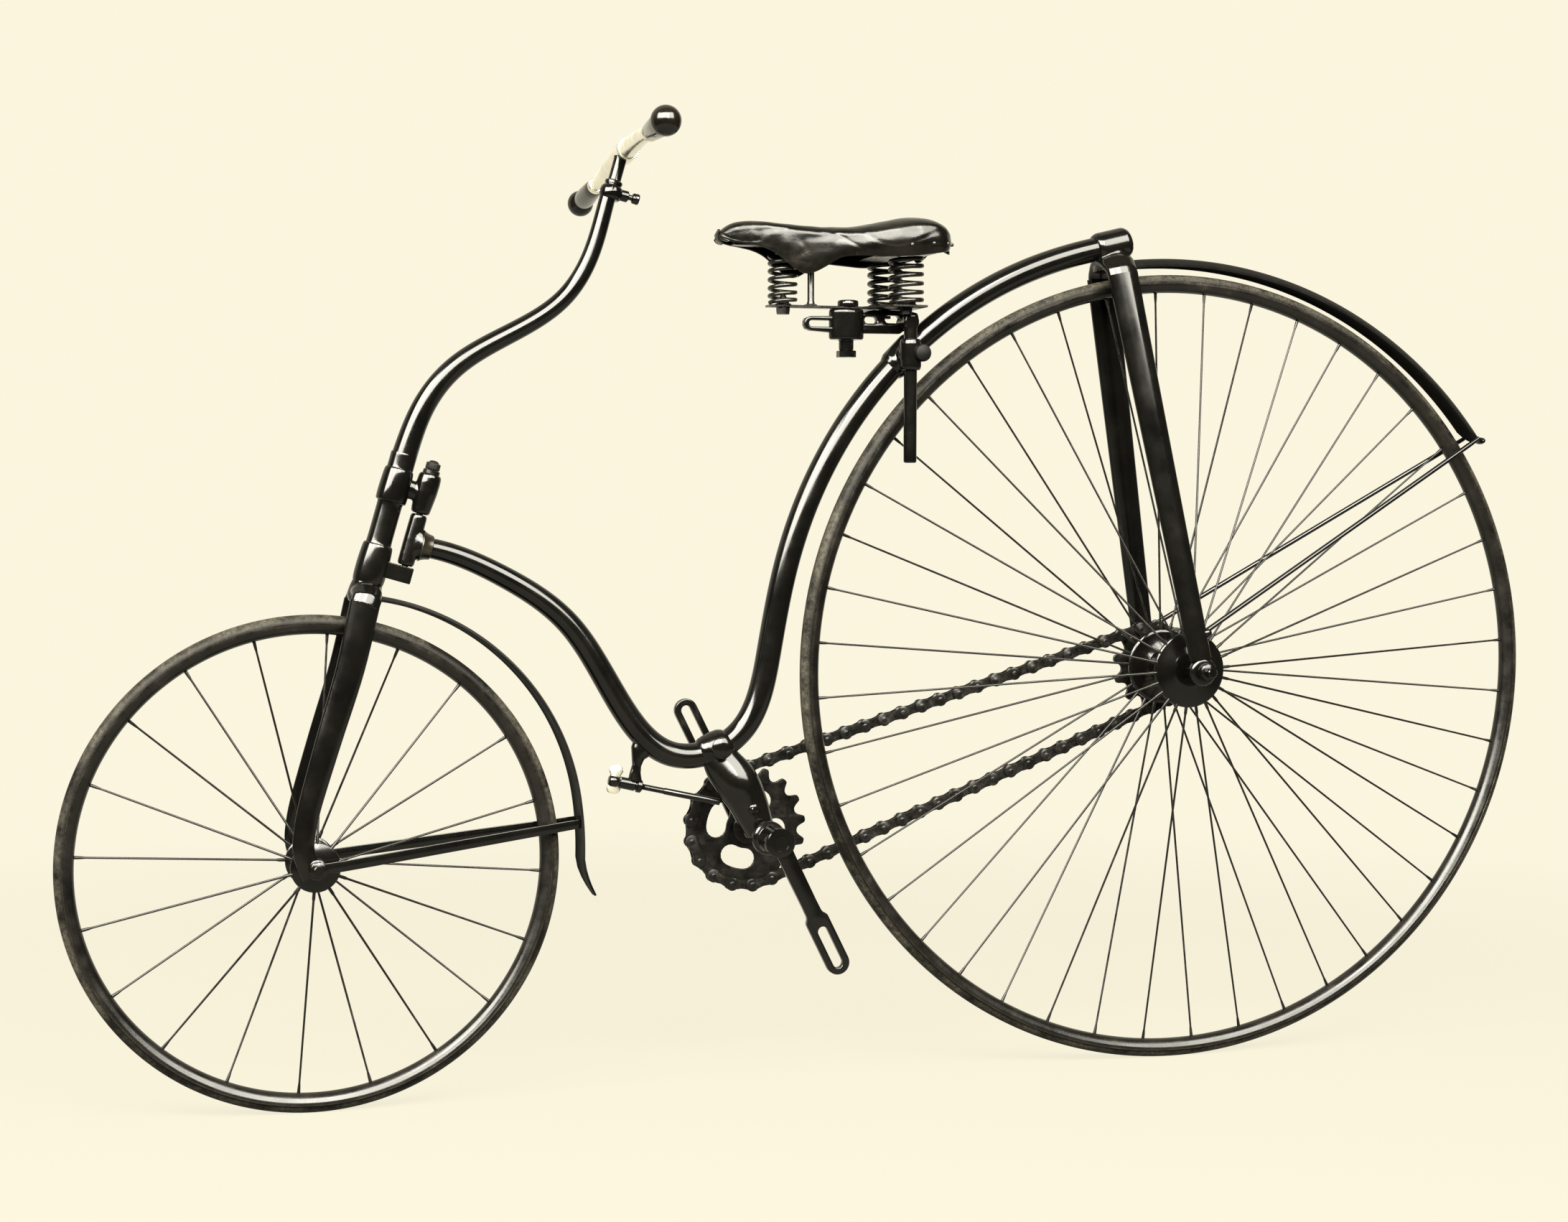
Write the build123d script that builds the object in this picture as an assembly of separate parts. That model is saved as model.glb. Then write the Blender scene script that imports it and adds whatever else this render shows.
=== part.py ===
"""Early safety bicycle: small steered front wheel, chain driven rear wheel, one curved backbone.

Lengths are in millimetres and angles in degrees. The shapes are drawn from the floor point
under the rear axle: +X forward, +Y to the bicycle's left, +Z up. Each solid is then moved so
that the rider's place on top of the saddle becomes the origin.
"""
import math
import os

from build123d import *

os.makedirs("parts", exist_ok=True)

# Wheels: 38 inch and 22 inch over solid rubber tyres.
REAR_RADIUS = 482.6
FRONT_RADIUS = 279.4
WHEEL_GAP = 290.5
WHEELBASE = REAR_RADIUS + WHEEL_GAP + FRONT_RADIUS
TYRE_TOP = 2 * REAR_RADIUS
TYRE_RADIUS = 10.0
RIM_WALL = 1.6
RIM_DROP = 0.9
RIM_MOUTH = 1.0
RIM_RADIUS = TYRE_RADIUS + RIM_WALL
REAR_SPOKES = 44
FRONT_SPOKES = 20
SPOKE_RADIUS = 1.3
SPOKE_SINK = 0.6
REAR_SPOKE_START = 4.6
FRONT_SPOKE_START = 3.8

# Hubs: flange faces are measured from the wheel's middle plane.
FRONT_FLANGE_RADIUS = 28.0
FRONT_FLANGE_OUT = 32.0
FRONT_FLANGE_THICK = 6.0
FRONT_BARREL_RADIUS = 13.0
REAR_FLANGE_RADIUS = 46.0
REAR_FLANGE_LEFT = 48.0
REAR_FLANGE_RIGHT = 36.0
REAR_FLANGE_THICK = 7.0
REAR_BARREL_RADIUS = 20.0
HUB_NOSE_RADIUS = 24.0
AXLE_RADIUS = 6.0
RUN_CLEARANCE = 0.05
NUT_RADIUS = 10.5
NUT_THICK = 8.0
REAR_AXLE_END = 12.0
FRONT_AXLE_END = 4.0

# Chain drive: one inch pitch.
PITCH = 25.4
RING_TEETH = 17
SPROCKET_TEETH = 12
TOOTH_ABOVE = 5.5
TOOTH_BELOW = 5.5
TOOTH_THICK = 4.0
RING_TURN = 3.8
SPROCKET_TURN = 10.0
CHAIN_Y = -60.0
CHAIN_GAP = 2.5
CHAIN_PLATE = 2.0
CHAIN_HALF_AT_PIN = 8.4
CHAIN_HALF_BETWEEN = 7.0
CHAIN_HALF_AT_WAIST = 5.6
CHAIN_PIN_RADIUS = 3.4
CHAIN_FREE_RUN = 40.0
CHAIN_SIDE = TOOTH_THICK / 2 + CHAIN_GAP
CHAIN_HALF_WIDTH = CHAIN_SIDE + CHAIN_PLATE
RING_PITCH_R = PITCH / 2 / math.sin(math.pi / RING_TEETH)
SPROCKET_PITCH_R = PITCH / 2 / math.sin(math.pi / SPROCKET_TEETH)
RING_HOLE_AT = 37.0
RING_HOLE_WIDTH = 25.0
RING_HOLE_SPREAD = 14.0
RING_BOSS_RADIUS = 18.0
RING_BOSS_THICK = 8.0

# Cranks on the bracket axle, whose place is set from the rear tyre.
BRACKET_ROOM = 49.4
RING_X = REAR_RADIUS + BRACKET_ROOM
RING_Z = 295.0
CRANK_AXLE_RADIUS = 8.0
CRANK_LENGTH = 158.0
CRANK_ANGLE = 63.6
CRANK_THICK = 9.0
CRANK_LEFT_Y = 80.0
CRANK_CHAIN_ROOM = 6.0
CRANK_RIGHT_Y = CHAIN_Y - CHAIN_HALF_WIDTH - CRANK_CHAIN_ROOM - CRANK_THICK / 2
CRANK_BOSS_RADIUS = 17.0
CRANK_BOSS_DEEP = 24.0
CRANK_ARM_WIDTH = 22.0
PADDLE_WIDTH = 30.0
PADDLE_LENGTH = 70.0
PEDAL_SLOT_WIDTH = 12.0
PEDAL_SLOT_LENGTH = 52.0

# Crank bracket, hung from the backbone.
SHELL_RADIUS = 17.0
SHELL_LEFT = 48.0
SHELL_RIGHT = -44.0
HANGER_LEFT = 26.0
HANGER_RIGHT = -13.0
LUG_AHEAD = 52.0
LUG_OVER_BRACKET = 105.0
LUG_CROSS_RADIUS = 15.0
LUG_HALF_LENGTH = 20.0
LUG_HALF_FALL = 5.0
ADJUSTER_RADIUS = 3.6
ADJUSTER_FRONT = (182.0, 69.0)
ADJUSTER_REAR = (48.0, 39.0)
WING_SETBACK = 2.0
WING_HUB_LENGTH = 15.4
WING_HUB_RADIUS = 7.0

# Steering axis: how far behind the front axle and over the front tyre its low point lies.
AXIS_BEHIND_AXLE = 100.5
AXIS_OVER_TYRE = 41.2
AXIS_X = WHEELBASE - AXIS_BEHIND_AXLE
AXIS_Z = 2 * FRONT_RADIUS + AXIS_OVER_TYRE
AXIS_LEAN = 16.0
LEAN = math.radians(AXIS_LEAN)
COLUMN_OFFSET = 35.2
COLUMN_RADIUS = 14.2
COLUMN_LOW = -14.0
COLUMN_HIGH = 133.0
PIVOT_RADIUS = 4.0
PIVOT_GAP = 0.6
HEAD_RADIUS = 9.5
HEAD_TIP_RADIUS = 6.5
HEAD_TAPER = 8.0
HEAD_LOW = 13.5
HEAD_HIGH = 73.0

# Backbone: (corner, bend radius) of its line in the middle plane, front to rear.
BACKBONE_FRONT_RADIUS = 12.0
BACKBONE_NECK_RADIUS = 14.0
BACKBONE_RADIUS = 14.6
BACKBONE_LOW_BEND = 80.0
BACKBONE_FRONT_SHARE = 0.6045
BACKBONE_REAR_BEND = REAR_RADIUS + 17.4
BACKBONE_LOW_Z = RING_Z + 95.5
CROWN_AHEAD = 86.0
CROWN_BELOW_TOP = 7.2
CROWN_X = CROWN_AHEAD
CROWN_Z = TYRE_TOP - CROWN_BELOW_TOP
BACKBONE_START = (AXIS_X - 24.0, AXIS_Z + 34.2)
BACKBONE_KNEE = (AXIS_X - 166.0, AXIS_Z - 6.5)
BACKBONE_LOW_FRONT = (RING_X + 131.8, BACKBONE_LOW_Z)
# The front bend takes up a set share of the straight run from the knee down to the low bend.
KNEE_RUN = math.dist(BACKBONE_KNEE, BACKBONE_LOW_FRONT)
KNEE_RISE = math.atan2(BACKBONE_START[1] - BACKBONE_KNEE[1], BACKBONE_START[0] - BACKBONE_KNEE[0])
KNEE_FALL = math.atan2(BACKBONE_LOW_FRONT[1] - BACKBONE_KNEE[1], BACKBONE_LOW_FRONT[0] - BACKBONE_KNEE[0])
BACKBONE_FRONT_BEND = BACKBONE_FRONT_SHARE * KNEE_RUN * math.tan((KNEE_RISE - KNEE_FALL) / 2)
BACKBONE_CORNERS = [
    (BACKBONE_START, 0.0),
    (BACKBONE_KNEE, BACKBONE_FRONT_BEND),
    (BACKBONE_LOW_FRONT, BACKBONE_LOW_BEND),
    ((RING_X + 11.1, BACKBONE_LOW_Z), BACKBONE_LOW_BEND),
    ((REAR_RADIUS - 41.5, TYRE_TOP - 55.0), BACKBONE_REAR_BEND),
    ((CROWN_X + 14.0, CROWN_Z + 37.2), 0.0),
]

# Rear fork; its ends clear the chain.
FORK_CHAIN_ROOM = 7.5
REAR_FORK_EYE = 6.0
REAR_FORK_EYE_RADIUS = 15.0
REAR_FORK_TOP_Y = 31.0
REAR_FORK_END_Y = -CHAIN_Y + CHAIN_HALF_WIDTH + FORK_CHAIN_ROOM + REAR_FORK_EYE
REAR_FORK_TOP = (38.0, 20.0)
REAR_FORK_END = (28.0, 12.0)
STAY_EYE = 3.0
STAY_RADIUS = 3.0

# Front fork: (wide, thick) of the blades and the place of their low ends from the axle.
FRONT_FORK_TOP_Y = 27.0
FRONT_FORK_END_Y = 44.0
FRONT_FORK_FLARE = 2.0
FRONT_FORK_TOP = (34.0, 16.0)
FRONT_FORK_END = (25.0, 11.0)
FRONT_FORK_LOW = (13.5, 43.6)
FOOT_THICK = 9.0
FRONT_STAY_THICK = 3.0
FRONT_STAY_WIDTH = 12.0
FRONT_STAY_STRAIGHT = 30.0

# Mudguards, each bent round a point of its own near the axle.
GUARD_THICK = 1.6
FRONT_GUARD_RADIUS = FRONT_RADIUS - 3.4
FRONT_GUARD_X = WHEELBASE - 32.2
FRONT_GUARD_Z = FRONT_RADIUS + 27.0
FRONT_GUARD_HALF = 21.0
FRONT_GUARD_DROP = 2.4
FRONT_GUARD_FROM = 97.0
FRONT_GUARD_TO = 186.6
REAR_GUARD_RADIUS = REAR_RADIUS + 46.9
REAR_GUARD_X = 3.8
REAR_GUARD_Z = REAR_RADIUS - 27.2
REAR_GUARD_HALF = 16.5
REAR_GUARD_DROP = 8.5
REAR_GUARD_FROM = 80.0
REAR_GUARD_TO = 143.8
REAR_STAY_UP = 45.0

# Handlebar, from the steering axis.
BAR_BEHIND_AXIS = 258.6
BAR_RISE = 487.0
BAR_X = AXIS_X - BAR_BEHIND_AXIS
BAR_Z = AXIS_Z + BAR_RISE
BAR_DROP = 18.0
BAR_AHEAD = 8.6
BAR_TURN = 4.3
BAR_SLEEVE_RADIUS = 13.0
BAR_SLEEVE_HALF = 20.0
BAR_MIDDLE_RADIUS = 12.0
BAR_END_RADIUS = 8.0
GRIP_FROM = 200.0
GRIP_TO = 311.0
GRIP_AHEAD = BAR_AHEAD * GRIP_FROM / GRIP_TO
GRIP_FALL = BAR_DROP * GRIP_FROM / GRIP_TO
GRIP_RADIUS = 11.0
GRIP_END_RADIUS = 14.0
GRIP_BALL_RADIUS = 16.0
STEM_LOW_RADIUS = 14.2
STEM_HIGH_RADIUS = 9.8
STEM_BEND = 178.0
NECK_RADIUS = 8.6
COLLAR_RADIUS = 13.0

# Saddle: the seat lug's place along the backbone's rear bend, and the rider's place from there.
SEAT_ALONG_BEND = 0.5425
SEAT_AHEAD_OF_LUG = 42.954
SEAT_OVER_LUG = 143.517
POST_Y = 28.0
POST_RADIUS = 7.8
BAR_HALF_THICK = 6.0
SPRING_WIRE = 2.6
SPRING_FRONT_RADIUS = 15.4
SPRING_REAR_RADIUS = 18.6
SPRING_REAR_Y = 38.0
LEATHER_THICK = 5.0
LEATHER_TOP_THICK = 6.0
MIN_ALIGN = (Align.CENTER, Align.CENTER, Align.MIN)


def axis_point(up, ahead=0.0, y=0.0):
    """A point at a distance up the steering axis, and ahead of it at right angles."""
    x = AXIS_X - math.sin(LEAN) * up + math.cos(LEAN) * ahead
    z = AXIS_Z + math.cos(LEAN) * up + math.sin(LEAN) * ahead
    return (x, y, z)


def polar(x, z, radius, degrees):
    """The (x, z) point at a radius and angle round a centre."""
    a = math.radians(degrees)
    return (x + radius * math.cos(a), z + radius * math.sin(a))


def rod(start, end, radius, end_radius=None):
    """A round bar, or a cone when the end radius differs."""
    p, q = Vector(*start), Vector(*end)
    length = (q - p).length
    place = Plane(origin=p, z_dir=(q - p)).location
    if end_radius is None or abs(end_radius - radius) < 1e-6:
        return place * Cylinder(radius, length, align=MIN_ALIGN)
    return place * Cone(radius, end_radius, length, align=MIN_ALIGN)


def cross(x, z, y_from, y_to, radius):
    """A round bar along Y."""
    return rod((x, min(y_from, y_to), z), (x, max(y_from, y_to), z), radius)


def bent_line(corners):
    """Straight runs with tangent arcs at the corners, in the middle plane."""
    pts = [Vector(c[0][0], 0, c[0][1]) for c in corners]
    edges = []
    last = pts[0]
    for i in range(1, len(pts) - 1):
        bend = corners[i][1]
        a = (pts[i - 1] - pts[i]).normalized()
        b = (pts[i + 1] - pts[i]).normalized()
        half = math.acos(max(-1.0, min(1.0, a.dot(b)))) / 2
        start = pts[i] + a * (bend / math.tan(half))
        end = pts[i] + b * (bend / math.tan(half))
        centre = pts[i] + (a + b).normalized() * (bend / math.sin(half))
        middle = centre + (pts[i] - centre).normalized() * bend
        if (start - last).length > 0.01:
            edges.append(Edge.make_line(last, start))
        edges.append(Edge.make_three_point_arc(start, middle, end))
        last = end
    if (pts[-1] - last).length > 0.01:
        edges.append(Edge.make_line(last, pts[-1]))
    return edges


def tube_along(edges, radius, end_radius):
    """A round tube along joined edges, tapering from one radius to the other."""
    path = Wire(edges)
    start = Plane(origin=path @ 0, z_dir=path % 0)
    end = Plane(origin=path @ 1, z_dir=path % 1)
    return sweep([start * Circle(radius), end * Circle(end_radius)], path=path, multisection=True)


def plate(points, y_from, y_to):
    """A flat plate from an outline of (x, z) points, standing in the middle plane."""
    face = make_face(Polyline(*[(x, y_from, z) for x, z in points], close=True))
    return Solid.extrude(face.face(), Vector(0, y_to - y_from, 0))


def slot(start, end, width, y_from, y_to):
    """A round-ended bar or cutter between two (x, z) points."""
    dx, dz = end[0] - start[0], end[1] - start[1]
    n = math.hypot(dx, dz)
    ux, uz = -dz / n * width / 2, dx / n * width / 2
    corners = [
        (start[0] + ux, start[1] + uz),
        (end[0] + ux, end[1] + uz),
        (end[0] - ux, end[1] - uz),
        (start[0] - ux, start[1] - uz),
    ]
    body = plate(corners, y_from, y_to)
    body = body + cross(start[0], start[1], y_from, y_to, width / 2)
    return body + cross(end[0], end[1], y_from, y_to, width / 2)


def ring_piece(section, x, z):
    """Revolve a closed (radius, y) outline once about a wheel's axle."""
    face = make_face(Polyline(*[(x + r, y, z) for r, y in section], close=True))
    return Solid.revolve(face.face(), 360, Axis((x, 0, z), (0, 1, 0)))


def blade(start, end, first_size, last_size):
    """A tapering oval fork blade from one point to another; sizes are (wide, thick)."""
    p, q = Vector(*start), Vector(*end)
    along = (q - p).normalized()
    across = Vector(0, 1, 0).cross(along).normalized()
    first = Plane(origin=p, x_dir=across, z_dir=along) * Ellipse(first_size[0] / 2, first_size[1] / 2)
    last = Plane(origin=q, x_dir=across, z_dir=along) * Ellipse(last_size[0] / 2, last_size[1] / 2)
    return loft([first, last])


def guard(radius, half_width, x, z, from_deg, to_deg, drop):
    """A mudguard blade: a shallow arched strip round a wheel's centre."""
    outer = [(radius - drop, -half_width), (radius - drop * 0.3, -half_width * 0.6), (radius, 0.0)]
    outer = outer + [(r, -y) for r, y in reversed(outer[:-1])]
    shrink = 1 - GUARD_THICK / half_width
    inner = [(r - GUARD_THICK, y * shrink) for r, y in reversed(outer)]
    face = make_face(Polyline(*[(x + r, y, z) for r, y in outer + inner], close=True)).face()
    axle = Axis((x, 0, z), (0, 1, 0))
    return Solid.revolve(face.rotate(axle, -from_deg), -(to_deg - from_deg), axle)


def largest(shape):
    """The largest solid of a cut shape."""
    return shape.solids().sort_by(SortBy.VOLUME)[-1]


# The rider's place comes from a point on the backbone's rear bend.
backbone_line = bent_line(BACKBONE_CORNERS)
rear_bend = backbone_line[len(backbone_line) - 2]
seat_point = rear_bend @ SEAT_ALONG_BEND
SEAT_X = seat_point.X + SEAT_AHEAD_OF_LUG
SEAT_Z = seat_point.Z + SEAT_OVER_LUG


def seat(x, z, y=0.0):
    """A point given from the rider's place."""
    return (SEAT_X + x, y, SEAT_Z + z)


def seat_outline(points):
    """An (x, z) outline given from the rider's place."""
    return [(SEAT_X + x, SEAT_Z + z) for x, z in points]


def bracket_outline(points):
    """An (x, z) outline given from the crank axle."""
    return [(RING_X + x, RING_Z + z) for x, z in points]


def save(node, shape):
    """Move a shape to the rider's origin and write its STEP file."""
    moved = [Pos(-SEAT_X, 0, -SEAT_Z) * s for s in shape.solids()]
    volume = sum(s.volume for s in moved) / 1000.0
    print(node, len(moved), round(volume, 2), "cm3", flush=True)
    export_step(Compound(children=moved) if len(moved) > 1 else moved[0], "parts/" + node + ".step")


# Wheels
WHEELS = [
    # name, centre x, radius, spokes, first spoke
    ("front", WHEELBASE, FRONT_RADIUS, FRONT_SPOKES, FRONT_SPOKE_START),
    ("rear", 0.0, REAR_RADIUS, REAR_SPOKES, REAR_SPOKE_START),
]
HUBS = {
    # name: left flange face, right flange face, flange thickness, flange radius, barrel radius
    "front": (
        FRONT_FLANGE_OUT, FRONT_FLANGE_OUT, FRONT_FLANGE_THICK, FRONT_FLANGE_RADIUS, FRONT_BARREL_RADIUS,
    ),
    "rear": (
        REAR_FLANGE_LEFT, REAR_FLANGE_RIGHT, REAR_FLANGE_THICK, REAR_FLANGE_RADIUS, REAR_BARREL_RADIUS,
    ),
}
SECTION_SIDES = 12
for name, cx, radius, count, first in WHEELS:
    left, right, flange_t, flange_r, barrel_r = HUBS[name]
    cz = radius
    tyre_at = radius - TYRE_RADIUS
    tyre = []
    for k in range(SECTION_SIDES):
        a = 2 * math.pi * (k + 0.5) / SECTION_SIDES
        tyre.append((tyre_at + TYRE_RADIUS * math.cos(a), TYRE_RADIUS * math.sin(a)))
    save(name + "_tyre", ring_piece(tyre, cx, cz))

    rim_at = tyre_at - RIM_DROP
    mouth = math.asin(min(1.0, (RIM_MOUTH + RIM_DROP) / RIM_RADIUS))
    lip = tyre_at + RIM_MOUTH
    rim = [(lip, -RIM_RADIUS * math.cos(mouth)), (lip, -TYRE_RADIUS - 0.1)]
    bed = sorted([p for p in tyre if p[0] < tyre_at], key=lambda p: p[1])
    rim = rim + bed + [(r, -y) for r, y in reversed(rim)]
    for k in range(1, SECTION_SIDES):
        a = math.pi / 2 - mouth + (math.pi + 2 * mouth) * k / SECTION_SIDES
        rim.append((rim_at + RIM_RADIUS * math.cos(a), RIM_RADIUS * math.sin(a)))
    save(name + "_rim", ring_piece(rim, cx, cz))

    spoke_end = rim_at - RIM_RADIUS
    flange_trim = cross(cx, cz, -left - flange_t, left + flange_t, flange_r)
    rim_trim = ring_piece([(spoke_end, -20), (radius, -20), (radius, 20), (spoke_end, 20)], cx, cz)
    spokes = []
    for k in range(count):
        angle = first + 360.0 * k / count
        side = left - flange_t / 2 if k % 2 else -(right - flange_t / 2)
        foot = polar(cx, cz, flange_r - SPOKE_SINK, angle)
        tip = polar(cx, cz, spoke_end + SPOKE_SINK, angle)
        spoke = rod((foot[0], side, foot[1]), (tip[0], 0, tip[1]), SPOKE_RADIUS)
        spokes.append(largest(spoke - flange_trim - rim_trim))
    save(name + "_spokes", Compound(children=spokes))

    hub = cross(cx, cz, left - flange_t, left, flange_r)
    hub = hub + cross(cx, cz, -right, -right + flange_t, flange_r)
    hub = hub + cross(cx, cz, -right, left, barrel_r)
    if name == "rear":
        hub = hub + cross(cx, cz, -right, CHAIN_Y + TOOTH_THICK / 2, HUB_NOSE_RADIUS)
    hub = hub - cross(cx, cz, -2 * left, 2 * left, AXLE_RADIUS + RUN_CLEARANCE)
    save(name + "_hub", hub)

# Toothed wheels
TOOTH = [
    # share of the tooth's step, height over the pitch circle
    (-0.40, -TOOTH_BELOW * 0.93),
    (-0.30, -TOOTH_BELOW * 0.62),
    (-0.19, 0.6),
    (-0.11, TOOTH_ABOVE),
    (0.11, TOOTH_ABOVE),
    (0.19, 0.6),
    (0.30, -TOOTH_BELOW * 0.62),
    (0.40, -TOOTH_BELOW * 0.93),
    (0.50, -TOOTH_BELOW),
]


def toothed(x, z, teeth, pitch_r, turn, hole_radius):
    """A flat toothed wheel for the chain."""
    step = 360.0 / teeth
    pts = []
    for k in range(teeth):
        for share, above in TOOTH:
            pts.append(polar(x, z, pitch_r + above, turn + step * (k + share)))
    body = plate(pts, CHAIN_Y - TOOTH_THICK / 2, CHAIN_Y + TOOTH_THICK / 2)
    return body - cross(x, z, CHAIN_Y - TOOTH_THICK, CHAIN_Y + TOOTH_THICK, hole_radius)


rear_bore = AXLE_RADIUS + RUN_CLEARANCE
sprocket = toothed(0.0, REAR_RADIUS, SPROCKET_TEETH, SPROCKET_PITCH_R, SPROCKET_TURN, rear_bore)
save("rear_sprocket", sprocket)
ring = toothed(RING_X, RING_Z, RING_TEETH, RING_PITCH_R, RING_TURN, CRANK_AXLE_RADIUS)
for angle in (75.0, 165.0, 255.0, 345.0):
    a = polar(RING_X, RING_Z, RING_HOLE_AT, angle - RING_HOLE_SPREAD)
    b = polar(RING_X, RING_Z, RING_HOLE_AT, angle + RING_HOLE_SPREAD)
    ring = ring - slot(a, b, RING_HOLE_WIDTH, CHAIN_Y - TOOTH_THICK, CHAIN_Y + TOOTH_THICK)
ring_face = CHAIN_Y + TOOTH_THICK / 2
ring_boss = cross(RING_X, RING_Z, ring_face, ring_face + RING_BOSS_THICK, RING_BOSS_RADIUS)
ring_boss = ring_boss - cross(RING_X, RING_Z, CHAIN_Y, 0.0, CRANK_AXLE_RADIUS)
save("chainring", ring + ring_boss)

# Chain: one fixed loop of two scalloped bands, with its pins shown on the straight runs
gap = math.hypot(RING_X, RING_Z - REAR_RADIUS)
base = math.degrees(math.atan2(RING_Z - REAR_RADIUS, RING_X))
tilt = math.degrees(math.asin((RING_PITCH_R - SPROCKET_PITCH_R) / gap))
up_angle = base + 90 + tilt
down_angle = base - 90 - tilt
run = math.sqrt(gap ** 2 - (RING_PITCH_R - SPROCKET_PITCH_R) ** 2)
ring_wrap = math.radians(180 + 2 * tilt) * RING_PITCH_R
sprocket_wrap = math.radians(180 - 2 * tilt) * SPROCKET_PITCH_R
total = 2 * run + ring_wrap + sprocket_wrap
links = round(total / PITCH)
step = total / links


def chain_point(s, offset):
    """A point along the chain's line, moved outwards by the offset."""
    s = s % total
    if s < run:
        a = polar(RING_X, RING_Z, RING_PITCH_R + offset, up_angle)
        b = polar(0.0, REAR_RADIUS, SPROCKET_PITCH_R + offset, up_angle)
        t = s / run
        return (a[0] + (b[0] - a[0]) * t, a[1] + (b[1] - a[1]) * t)
    s = s - run
    if s < sprocket_wrap:
        turned = up_angle + math.degrees(s / SPROCKET_PITCH_R)
        return polar(0.0, REAR_RADIUS, SPROCKET_PITCH_R + offset, turned)
    s = s - sprocket_wrap
    if s < run:
        a = polar(0.0, REAR_RADIUS, SPROCKET_PITCH_R + offset, down_angle)
        b = polar(RING_X, RING_Z, RING_PITCH_R + offset, down_angle)
        t = s / run
        return (a[0] + (b[0] - a[0]) * t, a[1] + (b[1] - a[1]) * t)
    s = s - run
    return polar(RING_X, RING_Z, RING_PITCH_R + offset, down_angle + math.degrees(s / RING_PITCH_R))


CHAIN_HALVES = [
    # share of a link, half width of the band there
    (0.00, CHAIN_HALF_AT_PIN),
    (0.25, CHAIN_HALF_BETWEEN),
    (0.50, CHAIN_HALF_AT_WAIST),
    (0.75, CHAIN_HALF_BETWEEN),
]
outer_line = []
inner_line = []
for k in range(links):
    for share, half in CHAIN_HALVES:
        outer_line.append(chain_point((k + share) * step, half))
        inner_line.append(chain_point((k + share) * step, -half))
bands = []
for y_from in (CHAIN_Y - CHAIN_HALF_WIDTH, CHAIN_Y + CHAIN_SIDE):
    y_to = y_from + CHAIN_PLATE
    bands.append(plate(outer_line, y_from, y_to) - plate(inner_line, y_from, y_to))
pin_half = CHAIN_HALF_WIDTH - CHAIN_PLATE / 2
pins = []
for k in range(links):
    s = (k * step) % total
    back = s - run - sprocket_wrap
    on_top_run = CHAIN_FREE_RUN < s < run - CHAIN_FREE_RUN
    on_low_run = CHAIN_FREE_RUN < back < run - CHAIN_FREE_RUN
    if on_top_run or on_low_run:
        x, z = chain_point(s, 0.0)
        six = [polar(x, z, CHAIN_PIN_RADIUS, 60 * j) for j in range(6)]
        pins.append(plate(six, CHAIN_Y - pin_half, CHAIN_Y + pin_half))
save("chain", bands[0] + bands[1] + pins)

# Cranks
axle_right = CRANK_RIGHT_Y - CRANK_THICK / 2
axle_left = CRANK_LEFT_Y + CRANK_THICK / 2
crank_axle = cross(RING_X, RING_Z, axle_right, axle_left, CRANK_AXLE_RADIUS)
save("crank_axle", crank_axle)
CRANKS = [
    # node, plane of the arm, direction, how far the boss goes inwards
    ("crank_left", CRANK_LEFT_Y, CRANK_ANGLE + 180, CRANK_BOSS_DEEP),
    ("crank_right", CRANK_RIGHT_Y, CRANK_ANGLE, 0.0),
]
for node, y, angle, inward in CRANKS:
    y1, y2 = y - CRANK_THICK / 2, y + CRANK_THICK / 2
    low = polar(RING_X, RING_Z, CRANK_LENGTH + PADDLE_WIDTH / 2 - PADDLE_LENGTH, angle)
    far = polar(RING_X, RING_Z, CRANK_LENGTH, angle)
    slot_low = polar(RING_X, RING_Z, CRANK_LENGTH - PEDAL_SLOT_LENGTH + PEDAL_SLOT_WIDTH, angle)
    crank = slot((RING_X, RING_Z), low, CRANK_ARM_WIDTH, y1, y2)
    crank = crank + slot(low, far, PADDLE_WIDTH, y1, y2)
    crank = crank + cross(RING_X, RING_Z, y1 - inward, y2, CRANK_BOSS_RADIUS)
    crank = crank - slot(slot_low, far, PEDAL_SLOT_WIDTH, y1 - 1, y2 + 1)
    save(node, crank - crank_axle)

# Backbone, and the crank bracket hung from it
front_tube = tube_along(backbone_line[:2], BACKBONE_FRONT_RADIUS, BACKBONE_NECK_RADIUS)
middle_tube = tube_along(backbone_line[2:-2], BACKBONE_NECK_RADIUS, BACKBONE_RADIUS)
rear_tube = tube_along(backbone_line[-2:], BACKBONE_RADIUS, BACKBONE_NECK_RADIUS)
save("backbone_front", front_tube)
save("backbone_middle", middle_tube)
save("backbone_rear", rear_tube)

HANGER = [(72, 77), (34, 97), (8, 73), (-2, 30), (0, 5), (16, -5), (34, 17), (54, 53)]
shell = cross(RING_X, RING_Z, SHELL_RIGHT, SHELL_LEFT, SHELL_RADIUS)
axle_bore = cross(RING_X, RING_Z, 2 * SHELL_RIGHT, 2 * SHELL_LEFT, CRANK_AXLE_RADIUS + RUN_CLEARANCE)
hanger = plate(bracket_outline(HANGER), HANGER_RIGHT, HANGER_LEFT) + shell - axle_bore
lug_x, lug_z = RING_X + LUG_AHEAD, RING_Z + LUG_OVER_BRACKET
bracket_lug = cross(lug_x, lug_z, -24, 30, LUG_CROSS_RADIUS)
lug_front = (lug_x + LUG_HALF_LENGTH + 2, 0, lug_z - LUG_HALF_FALL - 3)
lug_rear = (lug_x - LUG_HALF_LENGTH + 2, 0, lug_z + LUG_HALF_FALL - 3)
bracket_lug = bracket_lug + rod(lug_front, lug_rear, BACKBONE_NECK_RADIUS + 5.0)
bracket_lug = bracket_lug - middle_tube
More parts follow.
